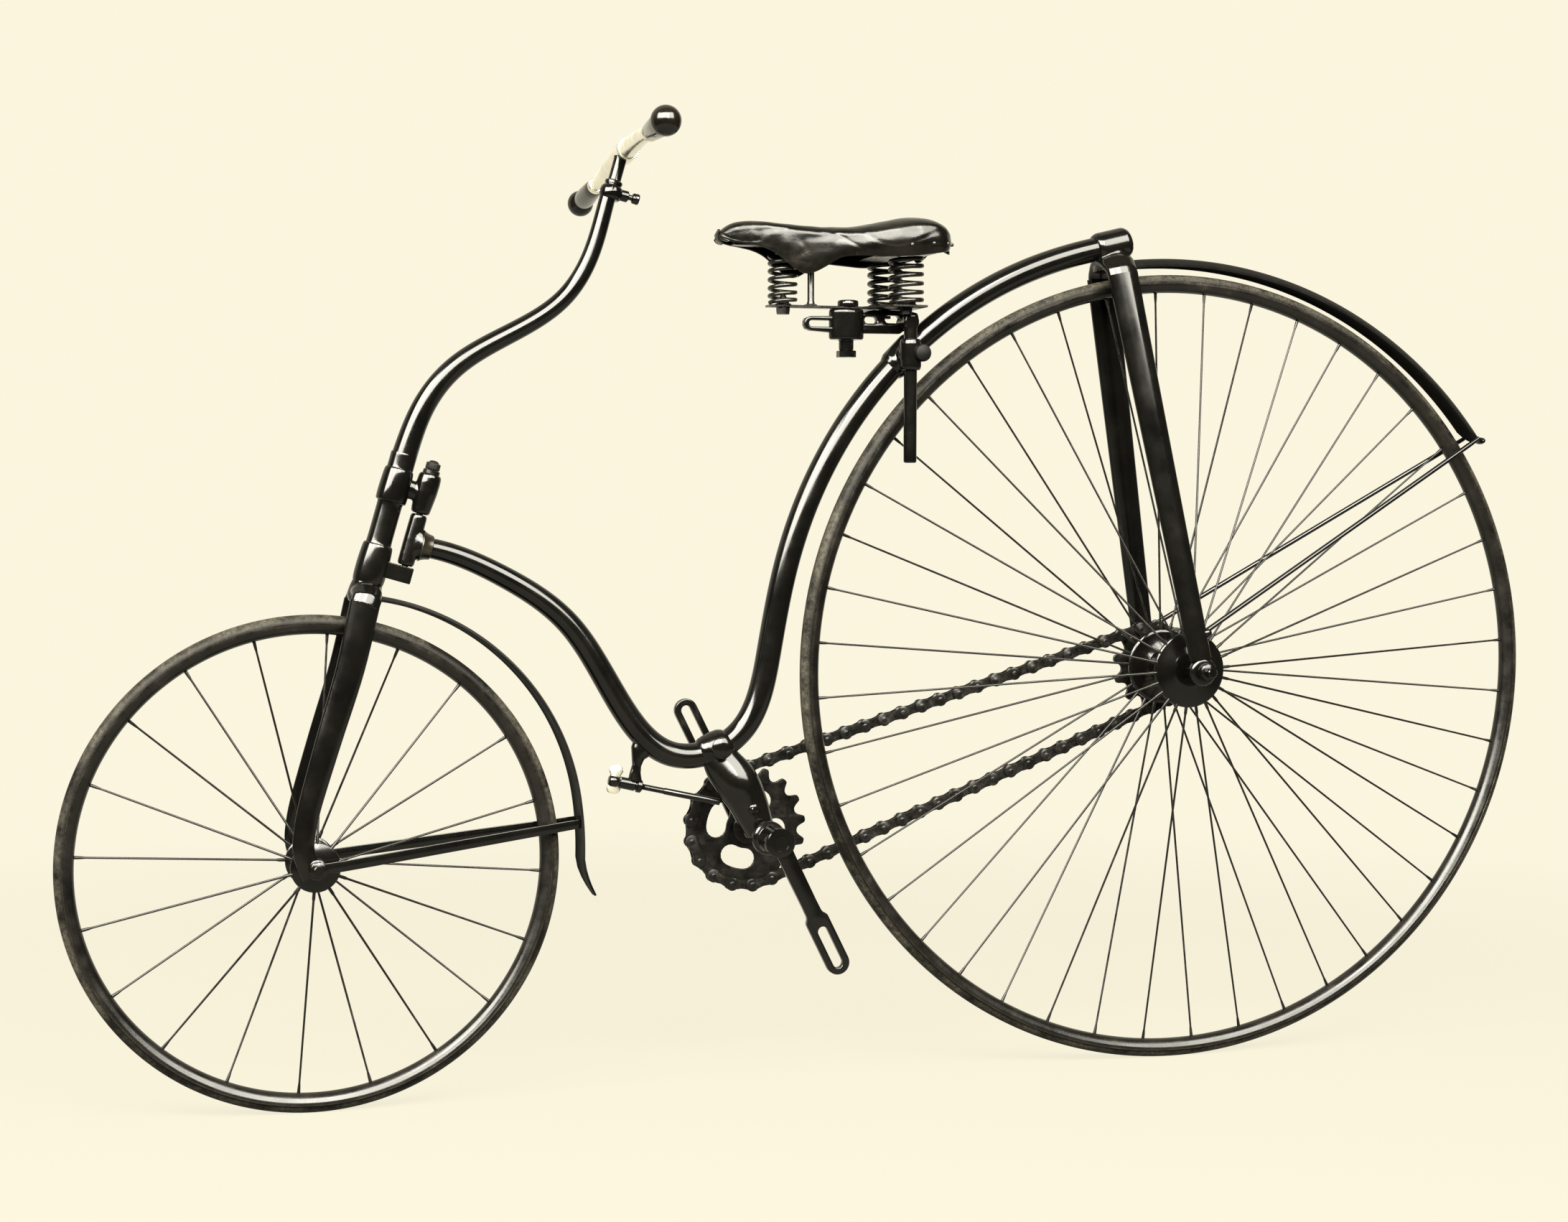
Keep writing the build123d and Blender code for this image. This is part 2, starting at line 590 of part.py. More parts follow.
save("bracket_lug", bracket_lug)
save("bracket_hanger", hanger - bracket_lug - middle_tube)

ADJUSTER_LUG = [(158, 105), (132, 93), (146, 77), (146, 63), (159, 63), (159, 77)]
WING = [(172, 85), (178, 85), (176, 53), (170, 53)]
adjuster_front = Vector(RING_X + ADJUSTER_FRONT[0], 0, RING_Z + ADJUSTER_FRONT[1])
adjuster_rear = Vector(RING_X + ADJUSTER_REAR[0], 0, RING_Z + ADJUSTER_REAR[1])
adjuster_way = (adjuster_rear - adjuster_front).normalized()
adjuster = rod(tuple(adjuster_front), tuple(adjuster_rear), ADJUSTER_RADIUS)
adjuster_lug = plate(bracket_outline(ADJUSTER_LUG), -9, 9) - middle_tube - adjuster
save("adjuster_lug", largest(adjuster_lug))
wing_front = adjuster_front + adjuster_way * WING_SETBACK
wing_rear = wing_front + adjuster_way * WING_HUB_LENGTH
wing = rod(tuple(wing_front), tuple(wing_rear), WING_HUB_RADIUS)
wing = wing + plate(bracket_outline(WING), -2, 2)
save("adjuster_rod", adjuster + wing - hanger - bracket_lug)

# Rear crown, fork and axle
tube_end = Vector(BACKBONE_CORNERS[-1][0][0], 0, BACKBONE_CORNERS[-1][0][1])
tube_before = Vector(BACKBONE_CORNERS[-2][0][0], 0, BACKBONE_CORNERS[-2][0][1])
tube_way = (tube_end - tube_before).normalized()
socket_front = tube_end - tube_way * 8.7
socket_rear = tube_end + tube_way * 33.8
CROWN_BLOCK = [(26, 27), (-26, 27), (-24, -12), (22, -12)]
crown_body = rod(tuple(socket_front), tuple(socket_rear), 18.5)
crown_body = crown_body + plate([(CROWN_X + x, CROWN_Z + z) for x, z in CROWN_BLOCK], -22, 22)
crown_body = crown_body + cross(CROWN_X, CROWN_Z + 4, -34, 34, 19.0)
crown_body = largest(crown_body - cross(0.0, REAR_RADIUS, -21, 21, REAR_RADIUS + 10) - rear_tube)
save("rear_crown", crown_body)

fork_face = REAR_FORK_END_Y + REAR_FORK_EYE
nut_face = fork_face + STAY_EYE
axle_half = nut_face + NUT_THICK + REAR_AXLE_END
rear_axle = cross(0, REAR_RADIUS, -axle_half, axle_half, AXLE_RADIUS)
for side in (1, -1):
    rear_axle = rear_axle + cross(0, REAR_RADIUS, side * nut_face, side * (nut_face + NUT_THICK), NUT_RADIUS)
save("rear_axle", rear_axle)
forks = []
for side in (1, -1):
    top = (CROWN_X, side * REAR_FORK_TOP_Y, CROWN_Z)
    fork = blade(top, (0, side * REAR_FORK_END_Y, REAR_RADIUS), REAR_FORK_TOP, REAR_FORK_END)
    eye_from = side * (REAR_FORK_END_Y - REAR_FORK_EYE)
    fork = fork + cross(0, REAR_RADIUS, eye_from, side * fork_face, REAR_FORK_EYE_RADIUS)
    fork = fork - cross(0, REAR_RADIUS, side * fork_face, side * 2 * fork_face, 4 * REAR_FORK_EYE_RADIUS)
    forks.append(largest(fork - rear_axle - crown_body))
save("rear_fork", Compound(children=forks))

# Rear mudguard with a wire stay on each side
rear_guard = guard(
    REAR_GUARD_RADIUS, REAR_GUARD_HALF, REAR_GUARD_X, REAR_GUARD_Z,
    REAR_GUARD_FROM, REAR_GUARD_TO, REAR_GUARD_DROP,
)
rear_guard = largest(rear_guard - crown_body)
save("rear_mudguard", rear_guard)
stay_tip = polar(REAR_GUARD_X, REAR_GUARD_Z, REAR_GUARD_RADIUS - 6.6, REAR_GUARD_TO - 0.7)
stay_share = REAR_STAY_UP / (CROWN_Z - REAR_RADIUS)
stay_foot_x = CROWN_X * stay_share - REAR_FORK_END[0] / 4
stay_foot_y = REAR_FORK_END_Y + (REAR_FORK_TOP_Y - REAR_FORK_END_Y) * stay_share
stays = []
for side in (1, -1):
    wire_from = (stay_foot_x, side * stay_foot_y, REAR_RADIUS + REAR_STAY_UP)
    wire_to = (stay_tip[0], side * (REAR_GUARD_HALF + 1), stay_tip[1])
    wire = rod(wire_from, wire_to, STAY_RADIUS)
    stays.append(largest(wire - forks[0] - forks[1] - rear_guard))
save("rear_mudguard_stays", Compound(children=stays))

# Steering head at the backbone's front end
head = rod(axis_point(HEAD_LOW + HEAD_TAPER), axis_point(HEAD_HIGH - HEAD_TAPER), HEAD_RADIUS)
head = head + rod(axis_point(HEAD_LOW), axis_point(HEAD_LOW + HEAD_TAPER), HEAD_TIP_RADIUS, HEAD_RADIUS)
head = head + rod(axis_point(HEAD_HIGH - HEAD_TAPER), axis_point(HEAD_HIGH), HEAD_RADIUS, HEAD_TIP_RADIUS)
tube_start = (BACKBONE_CORNERS[0][0][0], 0, BACKBONE_CORNERS[0][0][1])
head = head + rod(axis_point(40.0), tube_start, BACKBONE_FRONT_RADIUS + 3.0, BACKBONE_FRONT_RADIUS + 1.5)
head = head - rod(axis_point(-30), axis_point(200), PIVOT_RADIUS + RUN_CLEARANCE) - front_tube
save("steering_head", largest(head))

# Fork crown, steering column with its two arms, and the bolt through the head
crown_mid = axis_point(-30, COLUMN_OFFSET)
crown = rod(axis_point(-44, COLUMN_OFFSET), axis_point(COLUMN_LOW, COLUMN_OFFSET), 19.0)
crown = crown + cross(crown_mid[0], crown_mid[2], -36, 36, 17.0)
crown = largest(crown - cross(WHEELBASE, FRONT_RADIUS, -18, 18, FRONT_RADIUS + 9))
save("fork_crown", crown)
COLUMN = [
    # offset ahead of the axis, from, to, radius
    (COLUMN_OFFSET, COLUMN_LOW, COLUMN_HIGH, COLUMN_RADIUS),
    (COLUMN_OFFSET, -6.0, 44.0, COLUMN_RADIUS + 3.8),
    (COLUMN_OFFSET, 95.0, COLUMN_HIGH, COLUMN_RADIUS + 3.0),
    (0.0, -5.0, HEAD_LOW - PIVOT_GAP, 13.0),
    (0.0, HEAD_HIGH + PIVOT_GAP, 112.0, 9.5),
    (0.0, 80.0, 112.0, 12.6),
]
ARMS = [
    # from, to, half thickness
    (-5.0, 12.0, 9.0),
    (87.0, 106.0, 7.0),
]
ARM_REACH = 30.0
column = None
for ahead, low, high, r in COLUMN:
    piece = rod(axis_point(low, ahead), axis_point(high, ahead), r)
    column = piece if column is None else column + piece
for low, high, half in ARMS:
    ends = [axis_point(low, 0), axis_point(low, ARM_REACH), axis_point(high, ARM_REACH), axis_point(high, 0)]
    column = column + plate([p[::2] for p in ends], -half, half)
column = column - rod(axis_point(-30), axis_point(200), PIVOT_RADIUS) - crown
save("steering_column", column)
bolt = rod(axis_point(-5), axis_point(122), PIVOT_RADIUS)
bolt = bolt + rod(axis_point(112), axis_point(120), 8.0) + rod(axis_point(120), axis_point(134), 6.5)
save("centre_bolt", bolt)

# Front fork with flat feet round the axle
FOOT = [
    (1.5, 50.6), (25.5, 50.6), (26.5, 10.6), (21.5, -11.4),
    (-2.5, -17.4), (-12.5, -7.4), (-10.5, 10.6), (1.5, 22.6),
]
foot_outline = [(WHEELBASE + x, FRONT_RADIUS + z) for x, z in FOOT]
foot_face = FRONT_FORK_END_Y + FOOT_THICK / 2
stay_face = foot_face + FRONT_STAY_THICK
front_half = stay_face + NUT_THICK + FRONT_AXLE_END
front_axle = cross(WHEELBASE, FRONT_RADIUS, -front_half, front_half, AXLE_RADIUS)
for side in (1, -1):
    nut = cross(WHEELBASE, FRONT_RADIUS, side * stay_face, side * (stay_face + NUT_THICK), NUT_RADIUS)
    front_axle = front_axle + nut
save("front_axle", front_axle)
blades = []
for side in (1, -1):
    top = axis_point(-36, COLUMN_OFFSET, side * FRONT_FORK_TOP_Y)
    low_y = side * (FRONT_FORK_END_Y - FRONT_FORK_FLARE)
    low = (WHEELBASE + FRONT_FORK_LOW[0], low_y, FRONT_RADIUS + FRONT_FORK_LOW[1])
    foot_y = side * FRONT_FORK_END_Y
    foot = plate(foot_outline, foot_y - FOOT_THICK / 2, foot_y + FOOT_THICK / 2)
    one = blade(top, low, FRONT_FORK_TOP, FRONT_FORK_END) + foot
    blades.append(largest(one - front_axle - crown))
save("front_fork", Compound(children=blades))

# Front mudguard and its flat stays
front_guard = guard(
    FRONT_GUARD_RADIUS, FRONT_GUARD_HALF, FRONT_GUARD_X, FRONT_GUARD_Z,
    FRONT_GUARD_FROM, FRONT_GUARD_TO, FRONT_GUARD_DROP,
)
front_guard = largest(front_guard - crown)
save("front_mudguard", front_guard)
FRONT_STAY_SLOPE = 5.4
flat_stays = []
stay_slope = math.radians(FRONT_STAY_SLOPE)
guard_way = (FRONT_GUARD_X - WHEELBASE, FRONT_GUARD_Z - FRONT_RADIUS)
guard_along = -guard_way[0] * math.cos(stay_slope) + guard_way[1] * math.sin(stay_slope)
guard_beside = guard_way[0] * math.sin(stay_slope) + guard_way[1] * math.cos(stay_slope)
stay_reach = guard_along + math.sqrt((FRONT_GUARD_RADIUS - FRONT_GUARD_DROP) ** 2 - guard_beside ** 2)
for side in (1, -1):
    y1, y2 = side * foot_face, side * stay_face
    t1, t2 = side * (FRONT_GUARD_HALF - 1.5), side * (FRONT_GUARD_HALF + 1.5)
    z = FRONT_RADIUS - FRONT_STAY_WIDTH / 2
    plan = [(0, y1), (-FRONT_STAY_STRAIGHT, y1), (-stay_reach, t1)]
    plan = plan + [(-stay_reach, t2), (-FRONT_STAY_STRAIGHT, y2), (0, y2)]
    face = make_face(Polyline(*[(WHEELBASE + x, y, z) for x, y in plan], close=True)).face()
    bar = Solid.extrude(face, Vector(0, 0, FRONT_STAY_WIDTH))
    bar = bar.rotate(Axis((WHEELBASE, 0, FRONT_RADIUS), (0, 1, 0)), FRONT_STAY_SLOPE)
    bar = bar + cross(WHEELBASE, FRONT_RADIUS, y1, y2, NUT_RADIUS - 0.5)
    flat_stays.append(largest(bar - front_axle - front_guard))
save("front_mudguard_stays", Compound(children=flat_stays))

# Curved stem, its collar, and the handlebar
stem_start = axis_point(COLUMN_HIGH, COLUMN_OFFSET)
stem_top = (BAR_X + 15.0, BAR_Z - 53.0)
STEM_CORNERS = [
    ((stem_start[0], stem_start[2]), 0.0),
    ((AXIS_X - 27.9, AXIS_Z + 222.7), STEM_BEND),
    ((AXIS_X - 207.9, AXIS_Z + 321.5), STEM_BEND),
    (stem_top, 0.0),
]
stem = tube_along(bent_line(STEM_CORNERS), STEM_LOW_RADIUS, STEM_HIGH_RADIUS) - column
save("curved_stem", stem)
sleeve = cross(BAR_X, BAR_Z, -BAR_SLEEVE_HALF, BAR_SLEEVE_HALF, BAR_SLEEVE_RADIUS)
stem_end = Vector(stem_top[0], 0, stem_top[1])
neck_way = (Vector(BAR_X, 0, BAR_Z) - stem_end).normalized()
collar_low = stem_end + neck_way * 2.0
collar_high = stem_end + neck_way * 20.0
collar = rod(tuple(collar_low), tuple(collar_high), COLLAR_RADIUS)
collar = collar + rod((stem_end.X - 7.0, 0, stem_end.Z + 9.0), (stem_end.X - 33.0, 0, stem_end.Z + 5.0), 4.0)
neck = rod(tuple(stem_end), (BAR_X, 0, BAR_Z), NECK_RADIUS)
save("bar_stem", collar + neck - sleeve.rotate(Axis((BAR_X, 0, BAR_Z), tuple(neck_way)), -BAR_TURN) - stem)
# The bar stands a little turned on its neck, which fits the collar as a pin.
bar = sleeve
for side in (1, -1):
    start = (BAR_X, side * BAR_SLEEVE_HALF, BAR_Z)
    end = (BAR_X + GRIP_AHEAD, side * GRIP_FROM, BAR_Z - GRIP_FALL)
    bar = bar + rod(start, end, BAR_MIDDLE_RADIUS, BAR_END_RADIUS)
turn_axis = Axis((BAR_X, 0, BAR_Z), tuple(neck_way))
save("handlebar", bar.rotate(turn_axis, -BAR_TURN))
grips = []
for side in (1, -1):
    start = (BAR_X + GRIP_AHEAD, side * GRIP_FROM, BAR_Z - GRIP_FALL)
    ball = (BAR_X + BAR_AHEAD, side * GRIP_TO, BAR_Z - BAR_DROP)
    grip = rod(start, ball, GRIP_RADIUS, GRIP_END_RADIUS) + Pos(*ball) * Sphere(GRIP_BALL_RADIUS)
    grips.append(largest(grip - bar).rotate(turn_axis, -BAR_TURN))
save("grips", Compound(children=grips))

# Seat pin with its slotted bar, and the lug that holds it
POST_X = -43.5
SLOTTED_BAR = [
    (72, -120.2), (80, -116), (80, -107), (72, -103.3), (20, -102.5), (0, -94.5), (-48, -94.5), (-48, -114),
    (-38, -122), (20, -122.5),
]
BAR_SLOTS = [
    # front end x, rear end x, z, width
    (70.0, 18.0, -111.7, 7.6),
    (2.0, -6.0, -106.5, 8.0),
    (-24.0, -34.0, -105.0, 9.0),
]
post = rod(seat(POST_X, -275.0, POST_Y), seat(POST_X, -107.0, POST_Y), POST_RADIUS)
post_head = seat(POST_X, -109.0)
post = post + cross(post_head[0], post_head[2], 0, POST_Y + 6, 9.5)
slotted = plate(seat_outline(SLOTTED_BAR), -BAR_HALF_THICK, BAR_HALF_THICK)
for x_front, x_rear, z, width in BAR_SLOTS:
    ends = seat_outline([(x_front, z), (x_rear, z)])
    slotted = slotted - slot(ends[0], ends[1], width, -BAR_HALF_THICK - 1, BAR_HALF_THICK + 1)
pin = post + slotted
save("seat_pin", pin)
lug_mid = seat(POST_X - 1.8, -146.0)
seat_lug = rod(seat(-56.0, -135.0), seat(-34.0, -158.0), BACKBONE_RADIUS + 4.4)
seat_lug = seat_lug + cross(lug_mid[0], lug_mid[2], 0, POST_Y, 16.0)
seat_lug = seat_lug + rod(seat(POST_X, -165.0, POST_Y), seat(POST_X, -129.0, POST_Y), POST_RADIUS + 5.2)
seat_lug = seat_lug + cross(lug_mid[0] - 6.7, lug_mid[2], POST_Y, POST_Y + 20, 7.5)
seat_lug = seat_lug - middle_tube - rear_tube - pin
save("seat_lug", largest(seat_lug))

# Saddle clamp and the base plate with the flap's rod
CLAMP = [(5.6, -130.6), (48.4, -130.6), (48.4, -94.0), (5.6, -94.0)]
CLAMP_WINDOW = [(0.0, -122.5), (55.0, -122.5), (55.0, -101.0), (0.0, -101.0)]
clamp = plate(seat_outline(CLAMP), -16, 16)
clamp = clamp - plate(seat_outline(CLAMP_WINDOW), -BAR_HALF_THICK, BAR_HALF_THICK) - pin
clamp = clamp + rod(seat(27, -143), seat(27, -130), 9.0) + rod(seat(27, -151), seat(27, -143), 12.0)
save("saddle_clamp", clamp)
BASE_PLAN = [(124, -9), (124, 9), (10, 9), (-12, 58), (-56, 58), (-56, -58), (-12, -58), (10, -9)]
BASE_LOW = -94.0
BASE_TOP = -91.0
BASE_ROUNDS = [
    # x, from, to, radius
    (25.0, BASE_TOP, -83.0, 13.0),
    (105.0, -102.0, BASE_LOW, 8.0),
    (71.0, BASE_TOP - 0.5, -87.0, 8.0),
    (71.0, -87.0, -27.0, 4.0),
    (71.0, -27.0, -23.0, 9.0),
]
base_face = make_face(Polyline(*[seat(x, BASE_LOW, y) for x, y in BASE_PLAN], close=True)).face()
saddle_base = Solid.extrude(base_face, Vector(0, 0, BASE_TOP - BASE_LOW))
for x, low, high, r in BASE_ROUNDS:
    saddle_base = saddle_base + rod(seat(x, low), seat(x, high), r)
save("saddle_base", saddle_base)

# Saddle springs
SPRING_FOOT = BASE_TOP + 0.2
SPRINGS = [
    # x, y, top, turns, radius
    (-34.0, SPRING_REAR_Y, -34.0, 5, SPRING_REAR_RADIUS),
    (-34.0, -SPRING_REAR_Y, -34.0, 5, SPRING_REAR_RADIUS),
    (105.0, 0.0, -33.0, 6, SPRING_FRONT_RADIUS),
]
springs = []
for x, y, top, turns, r in SPRINGS:
    height = top - SPRING_FOOT - 2 * SPRING_WIRE
    path = Helix(pitch=height / turns, height=height, radius=r)
    start = Plane(origin=path @ 0, z_dir=path % 0)
    wire = sweep(start * Circle(SPRING_WIRE), path=path, is_frenet=True)
    springs.append((Pos(*seat(x, SPRING_FOOT + SPRING_WIRE, y)) * wire).solids()[0])
save("saddle_springs", Compound(children=springs))

# Saddle leather: side outline crossed with the plan outline, hollow below, on a two-piece frame
NOSE_X = 186.0
CANTLE_X = -91.0
PLAN = [
    # x, half width
    (NOSE_X, 12), (172, 22), (140, 27), (90, 34), (40, 50),
    (0, 76), (-26, 92), (-59, 92), (-81, 74), (CANTLE_X, 40),
]
TOP = [
    # x, z
    (NOSE_X, -13), (178, -2), (160, 5), (119, 3.7), (88, 1.4), (40, -0.5), (0, 0),
    (-22, 6.5), (-46, 10.5), (-68, 8), (-84, -2), (CANTLE_X, -15),
]
LOW = [
    # x, z
    (CANTLE_X, -29), (-60, -36), (-21, -38.6), (40, -37.3), (51, -40), (64, -48), (78, -55.5),
    (86, -57.2), (96, -53), (107, -45), (118, -36), (138, -27), (NOSE_X, -19),
]


def plan_slab(inset, z_low, z_high):
    """The saddle's plan outline, drawn in by an inset, as a slab."""
    ends = {NOSE_X: -inset, CANTLE_X: inset}
    half = [(x + ends.get(x, 0.0), y - inset) for x, y in PLAN]
    outline = half + [(x, -y) for x, y in reversed(half)]
    face = make_face(Polyline(*[seat(x, z_low, y) for x, y in outline], close=True)).face()
    return Solid.extrude(face, Vector(0, 0, z_high - z_low))


def saddle_body(inset, lower, deeper):
    """The side outline crossed with the plan outline."""
    top = [(x, z - lower) for x, z in TOP]
    low = [(x, z - deeper) for x, z in LOW]
    return plan_slab(inset, -107.0, 33.0) & plate(seat_outline(top + low), -110, 110)


leather = saddle_body(0.0, 0.0, 0.0) - saddle_body(LEATHER_THICK, LEATHER_TOP_THICK, 40.0)
leather = largest(leather)
save("saddle_leather", leather)
FRAME_SLABS = [
    # rear end, front end, underside, top
    (-110.0, -8.0, -34.0, -25.0),
    (88.0, 176.0, -33.0, -21.0),
]
frame_pieces = []
for x_rear, x_front, low, high in FRAME_SLABS:
    window = [(x_rear, low - 1), (x_front, low - 1), (x_front, high + 1), (x_rear, high + 1)]
    slab = plan_slab(LEATHER_THICK, low, high) & plate(seat_outline(window), -110, 110)
    frame_pieces.append(largest(slab - leather))
save("saddle_frame", Compound(children=frame_pieces))
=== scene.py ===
"""Looks for an early safety bicycle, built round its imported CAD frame.

Shapes are given in the floor frame, in millimetres: x forward, y to the bicycle's left, z up,
from the floor point under the rear axle. place() turns them into the scene's metres, whose
origin is the rider's place on the saddle.
"""
import math

import bmesh
import bpy
from mathutils import Matrix, Vector, noise


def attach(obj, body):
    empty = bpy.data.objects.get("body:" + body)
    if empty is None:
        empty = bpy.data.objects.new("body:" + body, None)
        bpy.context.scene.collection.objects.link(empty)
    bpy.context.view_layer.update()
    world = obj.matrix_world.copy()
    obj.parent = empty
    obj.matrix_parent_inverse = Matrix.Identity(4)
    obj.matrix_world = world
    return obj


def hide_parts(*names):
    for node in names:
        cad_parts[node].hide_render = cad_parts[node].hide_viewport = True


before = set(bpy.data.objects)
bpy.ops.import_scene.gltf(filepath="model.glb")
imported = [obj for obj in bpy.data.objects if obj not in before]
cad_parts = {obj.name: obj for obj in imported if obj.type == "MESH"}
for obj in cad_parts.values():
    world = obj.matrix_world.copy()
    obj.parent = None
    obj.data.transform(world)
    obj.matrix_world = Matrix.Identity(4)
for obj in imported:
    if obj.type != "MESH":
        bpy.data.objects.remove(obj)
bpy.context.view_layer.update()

SEAT_X = 400.0
SEAT_Z = 1007.0

# Wheels, hubs and drive
REAR_R = 482.6
FRONT_R = 279.4
FRONT_X = 1052.5
TYRE_R = 10.0
RIM_R = 11.6
RIM_SEAT = 0.9
RING_X = 532.0
RING_Z = 295.0
RING_TEETH = 17
RING_TURN = 3.8
SPROCKET_TEETH = 12
SPROCKET_TURN = 10.0
PITCH = 25.4
CHAIN_Y = -60.0
WHEEL_STEPS = 240
TOOTH_HALF = 2.0
RING_WINDOWS = (17.0, 107.0, 197.0, 287.0)
CRANK_ANGLE = 63.6
CRANK_REACH = 158.0
CRANK_SLOT_R = 6.0
CRANK_SLOT_LENGTH = 41.0

# Steering axis
AXIS_X = 952.0
AXIS_Z = 600.0
LEAN = math.radians(16.0)
COLUMN_AHEAD = 35.2

# Handlebar
BAR_X = 693.4
BAR_Z = 1087.0
BAR_NECK = Vector((-15.0, 0.0, 53.0)).normalized()
BAR_TURN = math.radians(-4.3)


# ---------- shapes ----------
def place(x, y, z):
    """A floor frame point in the scene's metres."""
    return Vector(((x - SEAT_X) / 1000.0, y / 1000.0, (z - SEAT_Z) / 1000.0))


def axis_point(up, ahead=0.0, y=0.0):
    """A point at a distance up the steering axis, and ahead of it."""
    x = AXIS_X - math.sin(LEAN) * up + math.cos(LEAN) * ahead
    z = AXIS_Z + math.cos(LEAN) * up + math.sin(LEAN) * ahead
    return Vector((x, y, z))


def polar(x, z, radius, degrees, y=0.0):
    """A point round a centre in the bicycle's plane."""
    a = math.radians(degrees)
    return Vector((x + radius * math.cos(a), y, z + radius * math.sin(a)))


def circle(centre, side, other, wide, high, sides):
    """A ring of points round a centre, along two directions."""
    angles = [2 * math.pi * j / sides for j in range(sides)]
    return [centre + side * (wide * math.cos(a)) + other * (high * math.sin(a)) for a in angles]


class Shape:
    """Vertices and faces in floor frame millimetres."""

    def __init__(self):
        self.verts = []
        self.faces = []

    def add(self, verts, faces):
        """Adds vertices, and faces that number them from 0."""
        n = len(self.verts)
        self.verts.extend(Vector(v) for v in verts)
        self.faces.extend(tuple(i + n for i in f) for f in faces)
        return self

    def rings(self, rings, closed=True, loop=False):
        """Joins rings of equal point counts; caps the ends unless looped."""
        n = len(rings[0])
        verts = [p for ring in rings for p in ring]
        faces = []
        count = len(rings)
        for i in range(count if loop else count - 1):
            a, b = i * n, ((i + 1) % count) * n
            for j in range(n if closed else n - 1):
                k = (j + 1) % n
                faces.append((a + j, a + k, b + k, b + j))
        if not loop and closed:
            faces.append(tuple(range(n - 1, -1, -1)))
            faces.append(tuple((count - 1) * n + j for j in range(n)))
        return self.add(verts, faces)

    def tube(self, points, radii, sides=24, up=(0, 1, 0)):
        """A tube through points; a radius may be a pair, across up and along it."""
        rings = []
        points = [Vector(p) for p in points]
        up = Vector(up)
        for i, p in enumerate(points):
            way = (points[min(i + 1, len(points) - 1)] - points[max(i - 1, 0)]).normalized()
            side = way.cross(up).normalized()
            top = side.cross(way).normalized()
            r = radii[i] if isinstance(radii, (list, tuple)) else radii
            wide, thick = r if isinstance(r, (list, tuple)) else (r, r)
            rings.append(circle(p, side, top, wide, thick, sides))
        return self.rings(rings)

    def lathe(self, profile, start, end, sides=32):
        """Turns a (distance, radius) profile round the line from start to end."""
        start, end = Vector(start), Vector(end)
        way = (end - start).normalized()
        side = way.cross(Vector((0.31, 0.77, 0.55))).normalized()
        other = way.cross(side)
        return self.rings([circle(start + way * d, side, other, r, r, sides) for d, r in profile])

    def hoop(self, section, x, z, steps=192):
        """Turns a closed (radius, y) section once about a wheel's axle."""
        rings = []
        for i in range(steps):
            a = 2 * math.pi * i / steps
            rings.append([Vector((x + r * math.cos(a), y, z + r * math.sin(a))) for r, y in section])
        return self.rings(rings, loop=True)

    def hexagon(self, centre, way, radius, thick, chamfer=0.9, turn=0.0):
        """A chamfered hexagon nut or bolt head, starting at centre."""
        centre, way = Vector(centre), Vector(way).normalized()
        ref = Vector((0, 0, 1)) if abs(way.z) < 0.9 else Vector((1, 0, 0))
        side = way.cross(ref).normalized()
        other = way.cross(side)
        rings = []
        slope = chamfer * 0.6
        for d, r in ((0, radius - chamfer), (slope, radius), (thick - slope, radius),
                     (thick, radius - chamfer)):
            ring = []
            for j in range(6):
                a = math.radians(60 * j + turn)
                ring.append(centre + way * d + side * (r * math.cos(a)) + other * (r * math.sin(a)))
            rings.append(ring)
        return self.rings(rings)

    def ball(self, centre, radius, squash=(1, 1, 1), rows=18, sides=28):
        """A ball with its poles along y."""
        rings = []
        for i in range(1, rows):
            a = math.pi * i / rows
            ring = []
            for j in range(sides):
                b = 2 * math.pi * j / sides
                r = radius * math.sin(a)
                ring.append(Vector((
                    centre[0] + squash[0] * r * math.cos(b),
                    centre[1] - squash[1] * radius * math.cos(a),
                    centre[2] + squash[2] * r * math.sin(b),
                )))
            rings.append(ring)
        return self.rings(rings)


def finish_mesh(obj, angle=35.0):
    """Outward normals and smooth shading that keeps edges over the angle."""
    mesh = obj.data
    bm = bmesh.new()
    bm.from_mesh(mesh)
    bmesh.ops.recalc_face_normals(bm, faces=bm.faces)
    bm.to_mesh(mesh)
    bm.free()
    mesh.polygons.foreach_set("use_smooth", [True] * len(mesh.polygons))
    mesh.set_sharp_from_angle(angle=math.radians(angle))
    mesh.update()


def store_dust_and_sheen(obj, values):
    """Stores how far each vertex faces outward from the tyre, for the finish to read; the finish paints that
    part lighter, as dust plus a painted sheen.
    """
    layer = obj.data.attributes.new("tread_dust_and_sheen", "FLOAT", "POINT")
    layer.data.foreach_set("value", values)


def new_object(name, shape, angle=35.0):
    """A mesh object from a shape."""
    mesh = bpy.data.meshes.new(name)
    mesh.from_pydata([place(*v) for v in shape.verts], [], shape.faces)
    mesh.update()
    obj = bpy.data.objects.new(name, mesh)
    bpy.context.collection.objects.link(obj)
    finish_mesh(obj, angle)
    return obj


def apply_modifiers(obj):
    """Replaces an object's mesh by what its modifiers make of it."""
    graph = bpy.context.evaluated_depsgraph_get()
    made = bpy.data.meshes.new_from_object(obj.evaluated_get(graph))
    obj.modifiers.clear()
    old = obj.data
    obj.data = made
    bpy.data.meshes.remove(old)


def bevel(obj, width, segments=3, angle=40.0):
    """Rounds an object's sharp edges; the width is in millimetres."""
    mod = obj.modifiers.new("bevel", "BEVEL")
    mod.width = width / 1000.0
    mod.segments = segments
    mod.limit_method = "ANGLE"
    mod.angle_limit = math.radians(angle)
    apply_modifiers(obj)
    finish_mesh(obj, angle)
    return obj


